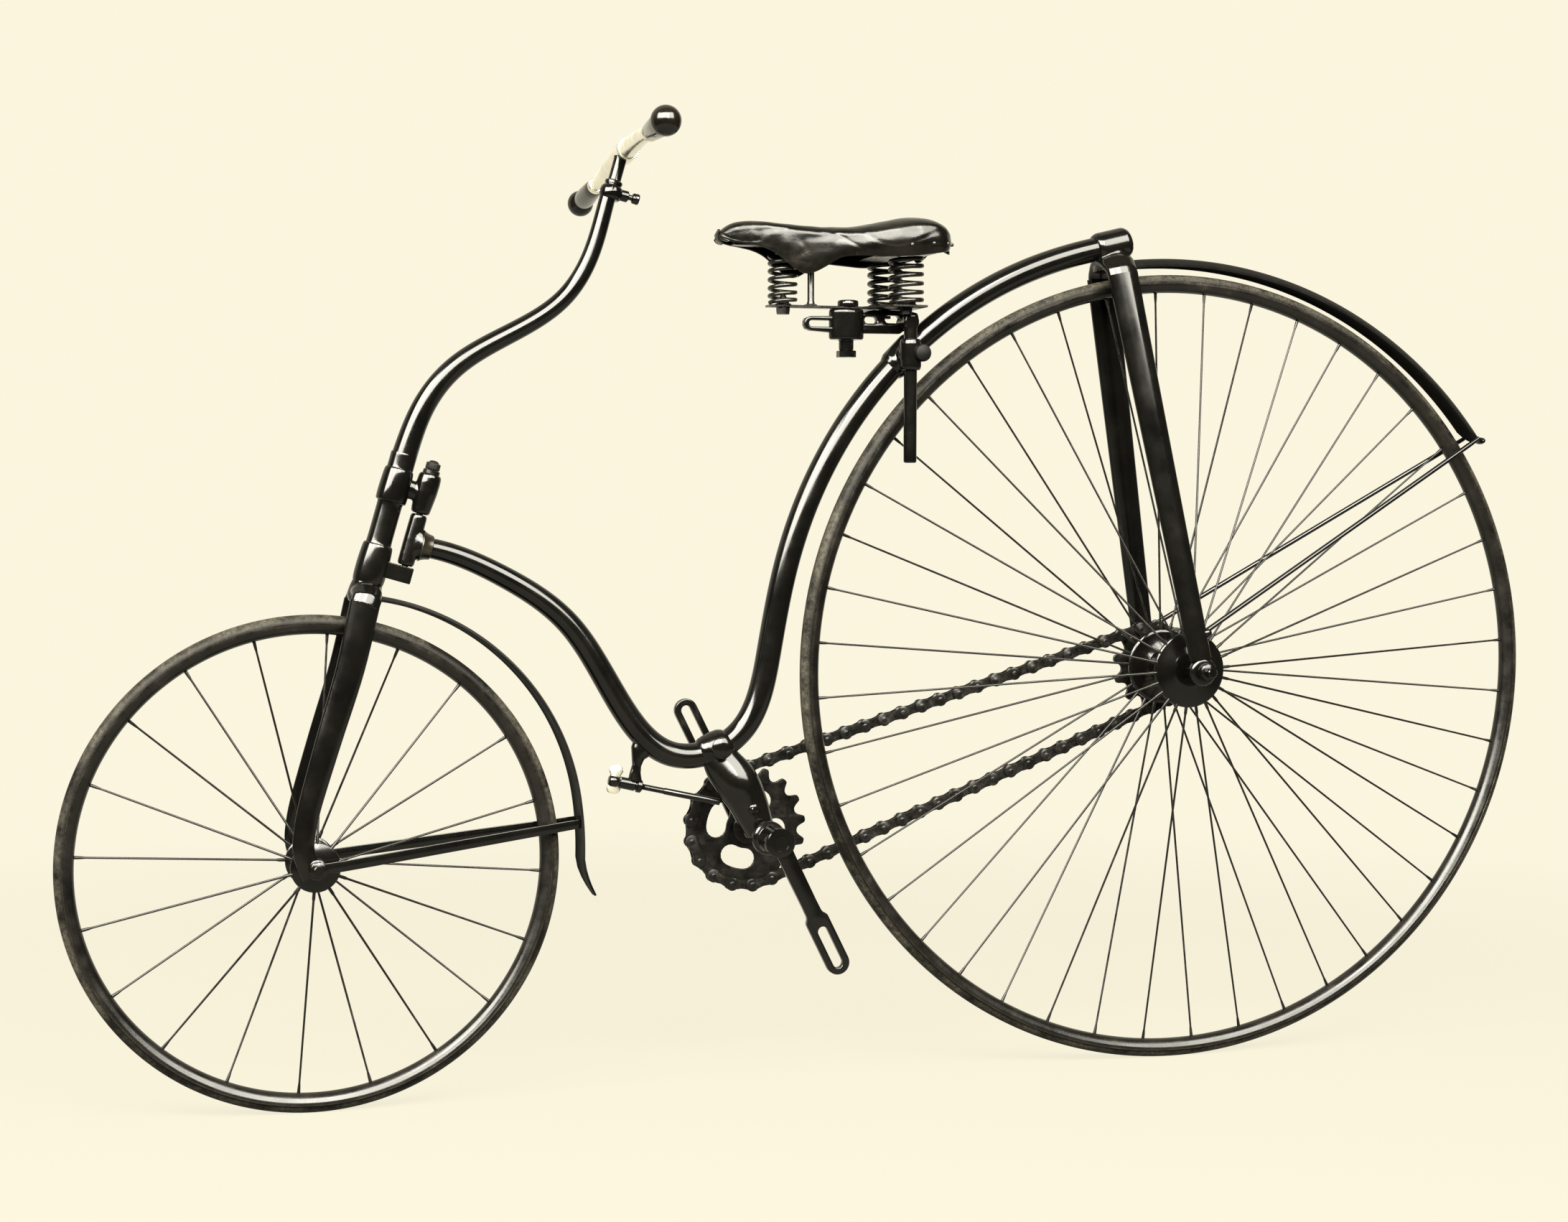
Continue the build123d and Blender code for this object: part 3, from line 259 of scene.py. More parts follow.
def cast(name, shape, voxel=1.2, smooth=6):
    """Joins overlapping bodies into one skin with small fillets, as in a casting or a brazed joint."""
    obj = new_object(name, shape)
    mod = obj.modifiers.new("skin", "REMESH")
    mod.mode = "VOXEL"
    mod.voxel_size = voxel / 1000.0
    mod = obj.modifiers.new("soften", "SMOOTH")
    mod.factor = 0.5
    mod.iterations = smooth
    apply_modifiers(obj)
    finish_mesh(obj, 75.0)
    return obj


def flat_plate(name, outline, y_from, y_to, holes=(), edge=0.8):
    """A plate with rounded edges from an (x, z) outline and its holes."""
    curve = bpy.data.curves.new(name, "CURVE")
    curve.dimensions = "2D"
    curve.fill_mode = "BOTH"
    half = (y_to - y_from) / 2000.0
    curve.extrude = half - edge / 1000.0
    curve.bevel_depth = edge / 1000.0
    curve.bevel_resolution = 2
    curve.offset = -edge / 1000.0
    for line in [outline] + list(holes):
        spline = curve.splines.new("POLY")
        spline.points.add(len(line) - 1)
        for point, (x, z) in zip(spline.points, line):
            spot = place(x, 0, z)
            point.co = (spot.x, spot.z, 0, 1)
        spline.use_cyclic_u = True
    holder = bpy.data.objects.new(name + "_curve", curve)
    bpy.context.collection.objects.link(holder)
    graph = bpy.context.evaluated_depsgraph_get()
    mesh = bpy.data.meshes.new_from_object(holder.evaluated_get(graph))
    bpy.data.objects.remove(holder)
    bpy.data.curves.remove(curve)
    middle = (y_from + y_to) / 2000.0
    for v in mesh.vertices:
        u, w, d = v.co
        v.co = (u, middle - d, w)
    mesh.name = name
    obj = bpy.data.objects.new(name, mesh)
    bpy.context.collection.objects.link(obj)
    bm = bmesh.new()
    bm.from_mesh(mesh)
    bmesh.ops.remove_doubles(bm, verts=bm.verts, dist=1e-6)
    bm.to_mesh(mesh)
    bm.free()
    finish_mesh(obj, 30.0)
    return obj


def merge(name, objects):
    """Joins objects into one piece."""
    verts, faces = [], []
    for obj in objects:
        n = len(verts)
        verts.extend(v.co.copy() for v in obj.data.vertices)
        faces.extend(tuple(i + n for i in f.vertices) for f in obj.data.polygons)
    mesh = bpy.data.meshes.new(name)
    mesh.from_pydata(verts, [], faces)
    out = bpy.data.objects.new(name, mesh)
    bpy.context.collection.objects.link(out)
    for obj in objects:
        bpy.data.objects.remove(obj)
    finish_mesh(out, 32.0)
    return out


def b_spline(controls, steps):
    """Points of a clamped cubic B-spline through rows of (x, z, radius)."""
    n, k = len(controls), 3
    knots = [0.0] * k + [i / (n - k) for i in range(n - k + 1)] + [1.0] * k
    out = []
    for s in range(steps + 1):
        t = min(s / steps, 1 - 1e-9)
        span = max(i for i in range(k, n) if knots[i] <= t)
        d = [Vector(controls[j]) for j in range(span - k, span + 1)]
        for r in range(1, k + 1):
            for j in range(k, r - 1, -1):
                i = span - k + j
                a = (t - knots[i]) / (knots[i + k - r + 1] - knots[i])
                d[j] = d[j - 1] * (1 - a) + d[j] * a
        out.append(d[k])
    return out


def spline_through(rows, steps):
    """Catmull-Rom values between rows of numbers."""
    rows = [Vector(r) for r in rows]
    rows = [rows[0] * 2 - rows[1]] + rows + [rows[-1] * 2 - rows[-2]]
    out = []
    for i in range(1, len(rows) - 2):
        for s in range(steps):
            t = s / steps
            a, b, c, d = rows[i - 1], rows[i], rows[i + 1], rows[i + 2]
            bend, twist = a * 2 - b * 5 + c * 4 - d, b * 3 - a - c * 3 + d
            out.append(0.5 * (b * 2 + (c - a) * t + bend * t * t + twist * t ** 3))
    out.append(rows[-2])
    return out


def arc(x, z, radius, from_deg, to_deg, count):
    """An (x, z) list round a centre."""
    pts = []
    for i in range(count):
        p = polar(x, z, radius, from_deg + (to_deg - from_deg) * i / (count - 1))
        pts.append((p.x, p.z))
    return pts


def mirrored(half):
    """The outline made by a half and its mirror image across y."""
    return half + [(x, -y) for x, y in reversed(half)]


# ---------- materials ----------
materials = {}


class Paint:
    """A node material on one Principled shader."""

    def __init__(self, name, **values):
        self.mat = bpy.data.materials.new(name)
        self.mat.use_nodes = True
        self.tree = self.mat.node_tree
        self.bsdf = self.tree.nodes["Principled BSDF"]
        for key, value in values.items():
            self.bsdf.inputs[key.replace("_", " ")].default_value = value
        self.coords = self.tree.nodes.new("ShaderNodeTexCoord").outputs["Object"]
        self.height = None
        materials[name] = self.mat

    def link(self, a, b):
        self.tree.links.new(a, b)

    def noise(self, scale, detail=4.0, rough=0.55, stretch=None, distortion=0.0):
        """Cloudy noise from 0 to 1."""
        node = self.tree.nodes.new("ShaderNodeTexNoise")
        node.inputs["Scale"].default_value = scale
        node.inputs["Detail"].default_value = detail
        node.inputs["Roughness"].default_value = rough
        node.inputs["Distortion"].default_value = distortion
        source = self.coords
        if stretch:
            mapping = self.tree.nodes.new("ShaderNodeMapping")
            mapping.inputs["Scale"].default_value = stretch
            self.link(self.coords, mapping.inputs[0])
            source = mapping.outputs[0]
        self.link(source, node.inputs["Vector"])
        return node.outputs["Fac"]

    def voronoi(self, scale):
        """Cells, as the distance to the nearest centre."""
        node = self.tree.nodes.new("ShaderNodeTexVoronoi")
        node.inputs["Scale"].default_value = scale
        self.link(self.coords, node.inputs["Vector"])
        return node.outputs["Distance"]

    def tread_dust_and_sheen(self):
        """What the tread attribute stores: how far a point faces outward, painted lighter as dust plus a
        painted sheen.
        """
        node = self.tree.nodes.new("ShaderNodeAttribute")
        node.attribute_name = "tread_dust_and_sheen"
        return node.outputs["Fac"]

    def ramp(self, source, stops):
        """A colour ramp; stops are (place, grey or colour)."""
        node = self.tree.nodes.new("ShaderNodeValToRGB")
        while len(node.color_ramp.elements) < len(stops):
            node.color_ramp.elements.new(0.5)
        for element, (at, value) in zip(node.color_ramp.elements, stops):
            element.position = at
            element.color = (value, value, value, 1) if isinstance(value, float) else (*value, 1)
        self.link(source, node.inputs[0])
        return node.outputs[0]

    def mix(self, factor, a, b):
        """Mixes two colours or sockets by a factor."""
        node = self.tree.nodes.new("ShaderNodeMix")
        node.data_type = "RGBA"
        for value, slot_name in ((factor, 0), (a, 6), (b, 7)):
            if isinstance(value, (tuple, list)):
                node.inputs[slot_name].default_value = (*value, 1) if len(value) == 3 else value
            elif isinstance(value, float):
                node.inputs[slot_name].default_value = value
            else:
                self.link(value, node.inputs[slot_name])
        return node.outputs[2]

    def colour(self, source):
        self.link(source, self.bsdf.inputs["Base Color"])
        return self

    def roughness(self, source, low, high):
        """Varies the gloss between two values."""
        self.link(self.ramp(source, [(0.3, low), (0.7, high)]), self.bsdf.inputs["Roughness"])
        return self

    def bump(self, source, distance, strength=1.0):
        """Adds relief; the distance is in millimetres."""
        node = self.tree.nodes.new("ShaderNodeBump")
        node.inputs["Strength"].default_value = strength
        node.inputs["Distance"].default_value = distance / 1000.0
        self.link(source, node.inputs["Height"])
        if self.height is not None:
            self.link(self.height, node.inputs["Normal"])
        self.height = node.outputs[0]
        self.link(self.height, self.bsdf.inputs["Normal"])
        return self


STEELS = [
    # name, metallic, specular, grime scale, grime colours, low and high roughness, relief scale, relief
    ("bright_steel", 0.9, 0.5, 60.0,
     [(0.3, (0.014, 0.012, 0.0095)), (0.6, (0.032, 0.028, 0.0215)), (0.85, (0.07, 0.061, 0.047))],
     0.20, 0.36, 600.0, 0.03),
    ("dark_steel", 0.5, 0.3, 70.0,
     [(0.3, (0.0014, 0.0012, 0.0010)), (0.6, (0.0040, 0.0035, 0.0027)), (0.85, (0.017, 0.0145, 0.011))],
     0.18, 0.42, 600.0, 0.03),
    ("spring_steel", 0.2, 0.3, 90.0,
     [(0.3, (0.0015, 0.0014, 0.0011)), (0.65, (0.0045, 0.0039, 0.0029)), (0.9, (0.015, 0.0125, 0.0085))],
     0.16, 0.38, 500.0, 0.04),
    ("chain_steel", 0.5, 0.3, 120.0,
     [(0.3, (0.0013, 0.0011, 0.0009)), (0.6, (0.0038, 0.0033, 0.0025)), (0.85, (0.018, 0.015, 0.011))],
     0.22, 0.46, 700.0, 0.05),
]


def make_materials():
    """Every finish, each with colour variation, varied gloss and relief."""
    p = Paint("black_enamel", IOR=1.45, Specular_IOR_Level=0.28)
    age = p.noise(20.0, 6.0, 0.62)
    chips = p.ramp(p.noise(150.0, 5.0, 0.7), [(0.71, 0.0), (0.78, 1.0)])
    black = p.ramp(age, [(0.35, (0.0006, 0.0006, 0.0005)), (0.75, (0.0015, 0.0013, 0.0010))])
    p.colour(p.mix(chips, black, (0.006, 0.005, 0.0035)))
    p.roughness(age, 0.07, 0.19).bump(p.noise(300.0, 2.0), 0.004).bump(p.noise(22.0, 2.0), 0.05)

    p = Paint("dull_enamel", IOR=1.30, Specular_IOR_Level=0.15)
    age = p.noise(24.0, 6.0, 0.62)
    p.colour(p.ramp(age, [(0.35, (0.0006, 0.0006, 0.0005)), (0.75, (0.0020, 0.0017, 0.0013))]))
    p.roughness(age, 0.38, 0.58).bump(p.noise(300.0, 3.0), 0.02)

    p = Paint("rim_enamel", IOR=1.40, Specular_IOR_Level=0.32)
    age = p.noise(30.0, 7.0, 0.65)
    p.colour(p.ramp(age, [
        (0.3, (0.0008, 0.0007, 0.0006)), (0.62, (0.0024, 0.0020, 0.0015)), (0.8, (0.009, 0.0075, 0.005))]))
    p.roughness(age, 0.16, 0.36).bump(p.noise(350.0, 4.0), 0.04)

    p = Paint("tyre_rubber", IOR=1.35, Specular_IOR_Level=0.10)
    patch = p.noise(13.0, 8.0, 0.74)
    fine = p.noise(230.0, 6.0, 0.7)
    side = p.mix(p.ramp(fine, [(0.35, 0.0), (0.75, 1.0)]), (0.0010, 0.0009, 0.0007), (0.0034, 0.0030, 0.0023))
    # The outward tread is painted lighter than the sides: partly dust, partly a painted sheen of the light
    # that falls on it.
    dust_and_sheen = p.mix(p.ramp(fine, [(0.3, 0.0), (0.6, 1.0)]), (0.0035, 0.0031, 0.0024), (0.024, 0.022, 0.0165))
    edge = p.mix(p.ramp(patch, [(0.42, 0.0), (0.58, 1.0)]), (0.0020, 0.0018, 0.0014), dust_and_sheen)
    p.colour(p.mix(p.tread_dust_and_sheen(), side, edge))
    p.roughness(patch, 0.36, 0.60).bump(fine, 0.18).bump(p.noise(60.0, 4.0), 0.25)

    p = Paint("nickel", Metallic=1.0)
    cloud = p.noise(35.0, 6.0, 0.6)
    spots = p.ramp(p.noise(240.0, 6.0, 0.75), [(0.62, 0.0), (0.74, 1.0)])
    plate = p.ramp(cloud, [(0.3, (0.72, 0.67, 0.56)), (0.7, (0.88, 0.84, 0.73))])
    p.colour(p.mix(spots, plate, (0.34, 0.29, 0.20)))
    p.roughness(cloud, 0.18, 0.34).bump(p.noise(500.0, 3.0), 0.015)

    for name, metallic, specular, scale, colours, low, high, relief_scale, relief in STEELS:
        p = Paint(name, Metallic=metallic, Specular_IOR_Level=specular)
        grime = p.noise(scale, 6.0, 0.65)
        p.colour(p.ramp(grime, colours))
        p.roughness(grime, low, high).bump(p.noise(relief_scale, 4.0), relief)

    p = Paint("grip_horn", IOR=1.45, Specular_IOR_Level=0.30)
    streak = p.noise(50.0, 5.0, 0.6, stretch=(1.0, 0.15, 1.0), distortion=0.6)
    p.colour(p.ramp(streak, [(0.3, (0.0008, 0.0007, 0.0006)), (0.75, (0.0028, 0.0022, 0.0015))]))
    p.roughness(streak, 0.08, 0.2).bump(p.noise(300.0, 3.0), 0.015)

    p = Paint("saddle_leather", IOR=1.45, Specular_IOR_Level=0.19)
    patch = p.noise(22.0, 8.0, 0.62, distortion=0.3)
    scuff = p.noise(70.0, 7.0, 0.7, distortion=0.4)
    hide = p.ramp(patch, [
        (0.32, (0.0006, 0.0005, 0.0004)), (0.52, (0.0013, 0.0011, 0.0008)), (0.74, (0.0038, 0.0030, 0.0020))])
    p.colour(p.mix(p.ramp(scuff, [(0.60, 0.0), (0.74, 1.0)]), hide, (0.0085, 0.0069, 0.0047)))
    grain = p.voronoi(620.0)
    p.roughness(patch, 0.16, 0.30).bump(grain, 0.08, 0.6).bump(p.noise(80.0, 5.0, 0.65), 0.25)


make_materials()


def finish_piece(obj, body, material, replaces=()):
    """Gives a piece its finish, body and the CAD nodes that it stands for."""
    obj.data.materials.clear()
    obj.data.materials.append(materials[material])
    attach(obj, body)
    if replaces:
        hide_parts(*replaces)


def piece(name, shape, body, material, replaces=(), angle=35.0):
    """Makes a shape into a finished piece."""
    finish_piece(new_object(name, shape, angle), body, material, replaces)


def cast_piece(name, shape, voxel, smooth, body, replaces):
    """Makes a shape into a finished black casting."""
    finish_piece(cast(name, shape, voxel, smooth), body, "black_enamel", replaces)


# ---------- wheels ----------
def tyre_section(radius):
    """A solid tyre's (radius, y) outline with a slightly worn tread."""
    at = radius - TYRE_R
    pts = []
    for i in range(36):
        a = 2 * math.pi * i / 36
        r, y = TYRE_R * math.cos(a), TYRE_R * math.sin(a)
        if math.cos(a) > 0.93:
            r = TYRE_R * 0.985
        pts.append((at + r * 0.995, y * 0.99))
    return pts


SIX_TURNS = [math.tau * k / 6 for k in range(6)]


def rim_section(radius):
    """The crescent rim's (radius, y) outline with a rolled lip on each side."""
    at = radius - TYRE_R - RIM_SEAT
    outer, inner = [], []
    for i in range(33):
        a = math.radians(82.0 + (278.0 - 82.0) * i / 32)
        lip = 0.45 if abs(math.cos(a)) < 0.2 else 0.0
        outer.append((at + (RIM_R - 0.5 + lip) * math.cos(a), (RIM_R - 0.5 + lip) * math.sin(a)))
        inner.append((at + 9.6 * math.cos(a), 9.6 * math.sin(a)))
    return outer + inner[::-1]


def spokes(name, x, radius, count, first, left, right, flange_r, thick, body, node):
    """Radial spokes, butted at the hub and headed at the rim."""
    shape = Shape()
    tip_r = radius - TYRE_R - RIM_SEAT - RIM_R + 0.5
    for k in range(count):
        angle = first + 360.0 * k / count
        side = left - thick / 2 if k % 2 else -(right - thick / 2)
        foot = polar(x, radius, flange_r - 2.0, angle, side)
        tip = polar(x, radius, tip_r, angle, 0.0)
        n = (tip - foot).length
        profile = [(0, 1.95), (9, 1.95), (11.5, 1.35), (n - 12, 1.2), (n - 7, 1.7), (n, 2.0)]
        shape.lathe(profile, foot, tip, sides=10)
    piece(name, shape, body, "dark_steel", [node], angle=50)


def make_wheel(which, x, radius, count, first, left, right, flange_r, thick, body):
    """A wheel's tyre, rim, worn rim lines and spokes."""
    section = tyre_section(radius)
    tyre = new_object(which + "_solid_tyre", Shape().hoop(section, x, radius, WHEEL_STEPS))
    # The outward-facing part of the tyre is marked for the finish, which paints it lighter: dust plus a
    # painted sheen.
    outward = [(r - radius + TYRE_R) / TYRE_R for r, _ in section]
    store_dust_and_sheen(tyre, [min(1.0, max(0.0, (c - 0.1) / 0.5)) for c in outward] * WHEEL_STEPS)
    finish_piece(tyre, body, "tyre_rubber", [which + "_tyre"])
    rim = Shape().hoop(rim_section(radius), x, radius, WHEEL_STEPS)
    piece(which + "_crescent_rim", rim, body, "rim_enamel", [which + "_rim"], angle=50)
    lines = Shape()
    for sign in (1, -1):
        at, out = radius - TYRE_R + 0.5, sign * (RIM_R - 0.3)
        section = [(at + 0.8 * math.cos(a), out + 0.8 * math.sin(a)) for a in SIX_TURNS]
        lines.hoop(section, x, radius, WHEEL_STEPS)
    piece(which + "_worn_rim_lines", lines, body, "bright_steel")
    spokes(which + "_wire_spokes", x, radius, count, first, left, right, flange_r, thick, body,
           which + "_spokes")


make_wheel("front", FRONT_X, FRONT_R, 20, 3.8, 32.0, 32.0, 28.0, 6.0, "front_wheel")
make_wheel("rear", 0.0, REAR_R, 44, 4.6, 48.0, 36.0, 46.0, 7.0, "rear_wheel")

FRONT_HUB_HALF = [
    (32.0, 6.2), (32.0, 13.0), (31.2, 15.5), (30.6, 26.6), (30.0, 27.6), (29.0, 28.0), (27.2, 28.0),
    (26.4, 27.2), (26.0, 25.0), (24.0, 18.0), (20.0, 14.2), (12.0, 12.6), (4.0, 12.2), (2.5, 13.4),
]
HUBS = [
    # name, node, body, x, z, (y, radius) profile from left to right
    ("front_turned_hub", "front_hub", "front_wheel", FRONT_X, FRONT_R,
     FRONT_HUB_HALF + [(-y, r) for y, r in reversed(FRONT_HUB_HALF)]),
    ("rear_turned_hub", "rear_hub", "rear_wheel", 0.0, REAR_R, [
        (48.0, 6.2), (48.0, 19.0), (47.4, 22.0), (46.4, 24.0), (46.0, 43.6), (45.4, 45.2), (44.2, 46.0),
        (42.4, 46.0), (41.4, 45.0), (41.0, 42.0), (39.4, 30.0), (35.0, 22.0), (24.0, 19.6), (6.0, 18.8),
        (4.0, 20.0), (-4.0, 20.0), (-6.0, 18.8), (-18.0, 19.6), (-25.0, 22.0), (-28.6, 30.0), (-29.2, 42.0),
        (-29.6, 45.0), (-30.6, 46.0), (-32.4, 46.0), (-33.6, 45.2), (-34.2, 43.6), (-35.0, 27.0),
        (-36.0, 23.8), (-57.6, 23.8), (-58.0, 23.0), (-58.0, 6.2)]),
]
for name, node, body, x, z, profile in HUBS:
    top = profile[0][0]
    rows = [(top - y, r) for y, r in profile]
    piece(name, Shape().lathe(rows, (x, top, z), (x, top - 1, z), 72), body, "black_enamel", [node], angle=40)

FLANK = [
    # share of the tooth's step, height over the pitch circle
    (0.05, 5.4), (0.12, 4.9), (0.165, 3.4), (0.20, 1.4), (0.245, -1.0), (0.30, -3.1), (0.36, -4.5),
    (0.42, -5.3),
]
TOOTH = [(-share, above) for share, above in reversed(FLANK)] + FLANK + [(0.50, -5.5)]


def pitch_radius(teeth):
    """The radius of a toothed wheel's pitch circle."""
    return PITCH / 2 / math.sin(math.pi / teeth)


def toothed_outline(x, z, teeth, turn):
    """The outline of a toothed wheel."""
    pitch_r = pitch_radius(teeth)
    pts = []
    for k in range(teeth):
        for share, above in TOOTH:
            p = polar(x, z, pitch_r + above, turn + 360.0 / teeth * (k + share))
            pts.append((p.x, p.z))
    return pts


def kidney(x, z, r_mid, half_wide, angle, spread):
    """A rounded window that follows a circle."""
    pts = arc(x, z, r_mid + half_wide, angle - spread, angle + spread, 10)
    end = polar(x, z, r_mid, angle + spread)
    pts += arc(end.x, end.z, half_wide, angle + spread, angle + spread + 180, 9)[1:-1]
    pts += arc(x, z, r_mid - half_wide, angle + spread, angle - spread, 10)
    end = polar(x, z, r_mid, angle - spread)
    pts += arc(end.x, end.z, half_wide, angle - spread + 180, angle - spread + 360, 9)[1:-1]
    return pts


outline = toothed_outline(0.0, REAR_R, SPROCKET_TEETH, SPROCKET_TURN)
sprocket = flat_plate("rear_toothed_sprocket", outline, CHAIN_Y - TOOTH_HALF, CHAIN_Y + TOOTH_HALF,
                      [arc(0.0, REAR_R, 6.2, 0, 350, 36)], edge=0.6)
finish_piece(sprocket, "rear_wheel", "dark_steel", ["rear_sprocket"])
windows = [kidney(RING_X, RING_Z, 37.0, 12.4, angle, 14.0) for angle in RING_WINDOWS]
outline = toothed_outline(RING_X, RING_Z, RING_TEETH, RING_TURN)
ring = flat_plate("chain_ring_plate", outline, CHAIN_Y - TOOTH_HALF, CHAIN_Y + TOOTH_HALF,
                  windows + [arc(RING_X, RING_Z, 8.0, 0, 350, 36)], edge=0.6)
boss = Shape().lathe([(0, 8.0), (0, 18.0), (6.6, 18.0), (7.6, 17.0), (8.0, 15.0), (8.0, 8.0)],
                     (RING_X, CHAIN_Y + TOOTH_HALF, RING_Z), (RING_X, 0, RING_Z), 48)
ring = merge("chain_ring", [ring, new_object("ring_boss", boss)])
finish_piece(ring, "cranks", "dark_steel", ["chainring"])


# ---------- chain ----------
def chain_layout():
    """Pin places round the two toothed wheels."""
    r1, r2 = pitch_radius(RING_TEETH), pitch_radius(SPROCKET_TEETH)
    dx, dz = RING_X, RING_Z - REAR_R
    gap = math.hypot(dx, dz)
    base = math.degrees(math.atan2(dz, dx))
    tilt = math.degrees(math.asin((r1 - r2) / gap))
    up, down = base + 90 + tilt, base - 90 - tilt
    run = math.sqrt(gap ** 2 - (r1 - r2) ** 2)
    wrap2 = math.radians(180 - 2 * tilt) * r2
    wrap1 = math.radians(180 + 2 * tilt) * r1
    total = 2 * run + wrap1 + wrap2
    links = round(total / PITCH)
    pins = []
    for k in range(links):
        s = k * total / links
        if s < run:
            p = polar(RING_X, RING_Z, r1, up).lerp(polar(0, REAR_R, r2, up), s / run)
        elif s < run + wrap2:
            p = polar(0, REAR_R, r2, up + math.degrees((s - run) / r2))
        elif s < 2 * run + wrap2:
            p = polar(0, REAR_R, r2, down).lerp(polar(RING_X, RING_Z, r1, down), (s - run - wrap2) / run)
        else:
            p = polar(RING_X, RING_Z, r1, down + math.degrees((s - 2 * run - wrap2) / r1))
        pins.append(p)
    return pins


def link_outline(a, b, end_r, waist):
    """A figure of eight side plate between two pins."""
    way = b - a
    angle = math.degrees(math.atan2(way.z, way.x))
    mid = (a + b) / 2
    side = Vector((-way.z, 0, way.x)).normalized()
    up, down = mid + side * waist, mid - side * waist
    pts = arc(a.x, a.z, end_r, angle + 52, angle + 308, 13)
    pts.append((down.x, down.z))
    pts += arc(b.x, b.z, end_r, angle - 128, angle + 128, 13)
    pts.append((up.x, up.z))
    return pts


def make_chain():
    """Inner and outer links in turn, with a riveted pin and a roller at each joint."""
    pins = chain_layout()
    shape = Shape()
    pin = [(0, 0.4), (0.0, 2.2), (0.5, 3.2), (1.2, 3.5), (12.6, 3.5), (13.3, 3.2), (13.8, 2.2), (13.8, 0.4)]
    roller = [(0, 3.0), (0, 4.6), (5.0, 4.6), (5.0, 3.0)]
    for k, a in enumerate(pins):
        b = pins[(k + 1) % len(pins)]
        outer = k % 2 == 0
        low, high = (4.5, 6.2) if outer else (2.6, 4.3)
        line = link_outline(a, b, 8.0 if outer else 7.6, 5.2)
        mid = (a + b) / 2
        for sign in (1, -1):
            rings = []
            for y, shrink in ((low, 0.97), (low + 0.3, 1.0), (high - 0.35, 1.0), (high, 0.955)):
                rings.append([
                    Vector((mid.x + (x - mid.x) * shrink, CHAIN_Y + sign * y, mid.z + (z - mid.z) * shrink))
                    for x, z in line])
            shape.rings(rings)
        shape.lathe(pin, (a.x, CHAIN_Y - 6.9, a.z), (a.x, CHAIN_Y, a.z), 14)
        shape.lathe(roller, (a.x, CHAIN_Y - 2.5, a.z), (a.x, CHAIN_Y, a.z), 16)
    piece("drive_chain", shape, "frame", "chain_steel", ["chain"], angle=40)


make_chain()


# ---------- cranks ----------
def crank_outline(angle):
    """A crank arm with shoulders under its wide slotted end."""
    rows = [
        # distance out, half width
        (17.5, 10.0), (40.0, 9.6), (80.0, 9.3), (93.0, 9.5), (96.0, 10.4), (99.5, 13.0), (102.0, 13.9),
        (CRANK_REACH, 14.0),
    ]
    way = polar(0, 0, 1, angle)
    side = Vector((-way.z, 0, way.x))
    origin = Vector((RING_X, 0, RING_Z))
    left = [origin + way * d + side * w for d, w in rows]
    right = [origin + way * d - side * w for d, w in rows]
    tip = polar(RING_X, RING_Z, CRANK_REACH, angle)
    pts = [(p.x, p.z) for p in right[:-1]]
    pts += arc(tip.x, tip.z, 14.0, angle - 90, angle + 90, 15)
    pts += [(p.x, p.z) for p in reversed(left[:-1])]
    pts += arc(RING_X, RING_Z, 17.0, angle + 38, angle + 322, 24)
    return pts


def slot_outline(angle):
    """The round-ended slot for a pedal pin."""
    low = polar(RING_X, RING_Z, CRANK_REACH - CRANK_SLOT_LENGTH, angle)
    far = polar(RING_X, RING_Z, CRANK_REACH, angle)
    return (arc(far.x, far.z, CRANK_SLOT_R, angle - 90, angle + 90, 11)
            + arc(low.x, low.z, CRANK_SLOT_R, angle + 90, angle + 270, 11))


CRANKS = [
    # name, node, arm plane, direction, outward sign
    ("left_crank_arm", "crank_left", 80.0, CRANK_ANGLE + 180, 1),
    ("right_crank_arm", "crank_right", -77.0, CRANK_ANGLE, -1),
]
for name, node, y, angle, sign in CRANKS:
    arm = flat_plate(name + "_arm", crank_outline(angle), y - 4.5, y + 4.5, [slot_outline(angle)], edge=1.3)
    boss = Shape()
    inner = 28.5 if sign > 0 else 4.5
    boss.lathe([(0, 7.0), (0, 15.6), (1.2, 16.9), (inner - 1, 16.9), (inner + 7.6, 16.9), (inner + 8.4, 16.2),
                (inner + 8.7, 12.0), (inner + 8.7, 9.6), (inner + 7.9, 9.2), (inner + 7.9, 0.5)],
               (RING_X, y - sign * inner, RING_Z), (RING_X, y + sign * 50, RING_Z), 48)
    crank = merge(name, [arm, new_object("boss", boss)])
    finish_piece(crank, "cranks", "black_enamel", [node])
axle = Shape().lathe([(0, 0.5), (0, 6.6), (1, 7.8), (164, 7.8), (165, 6.6), (165, 0.5)],
                     (RING_X, -81.0, RING_Z), (RING_X, 0, RING_Z), 32)
piece("crank_spindle", axle, "cranks", "dark_steel", ["crank_axle"])

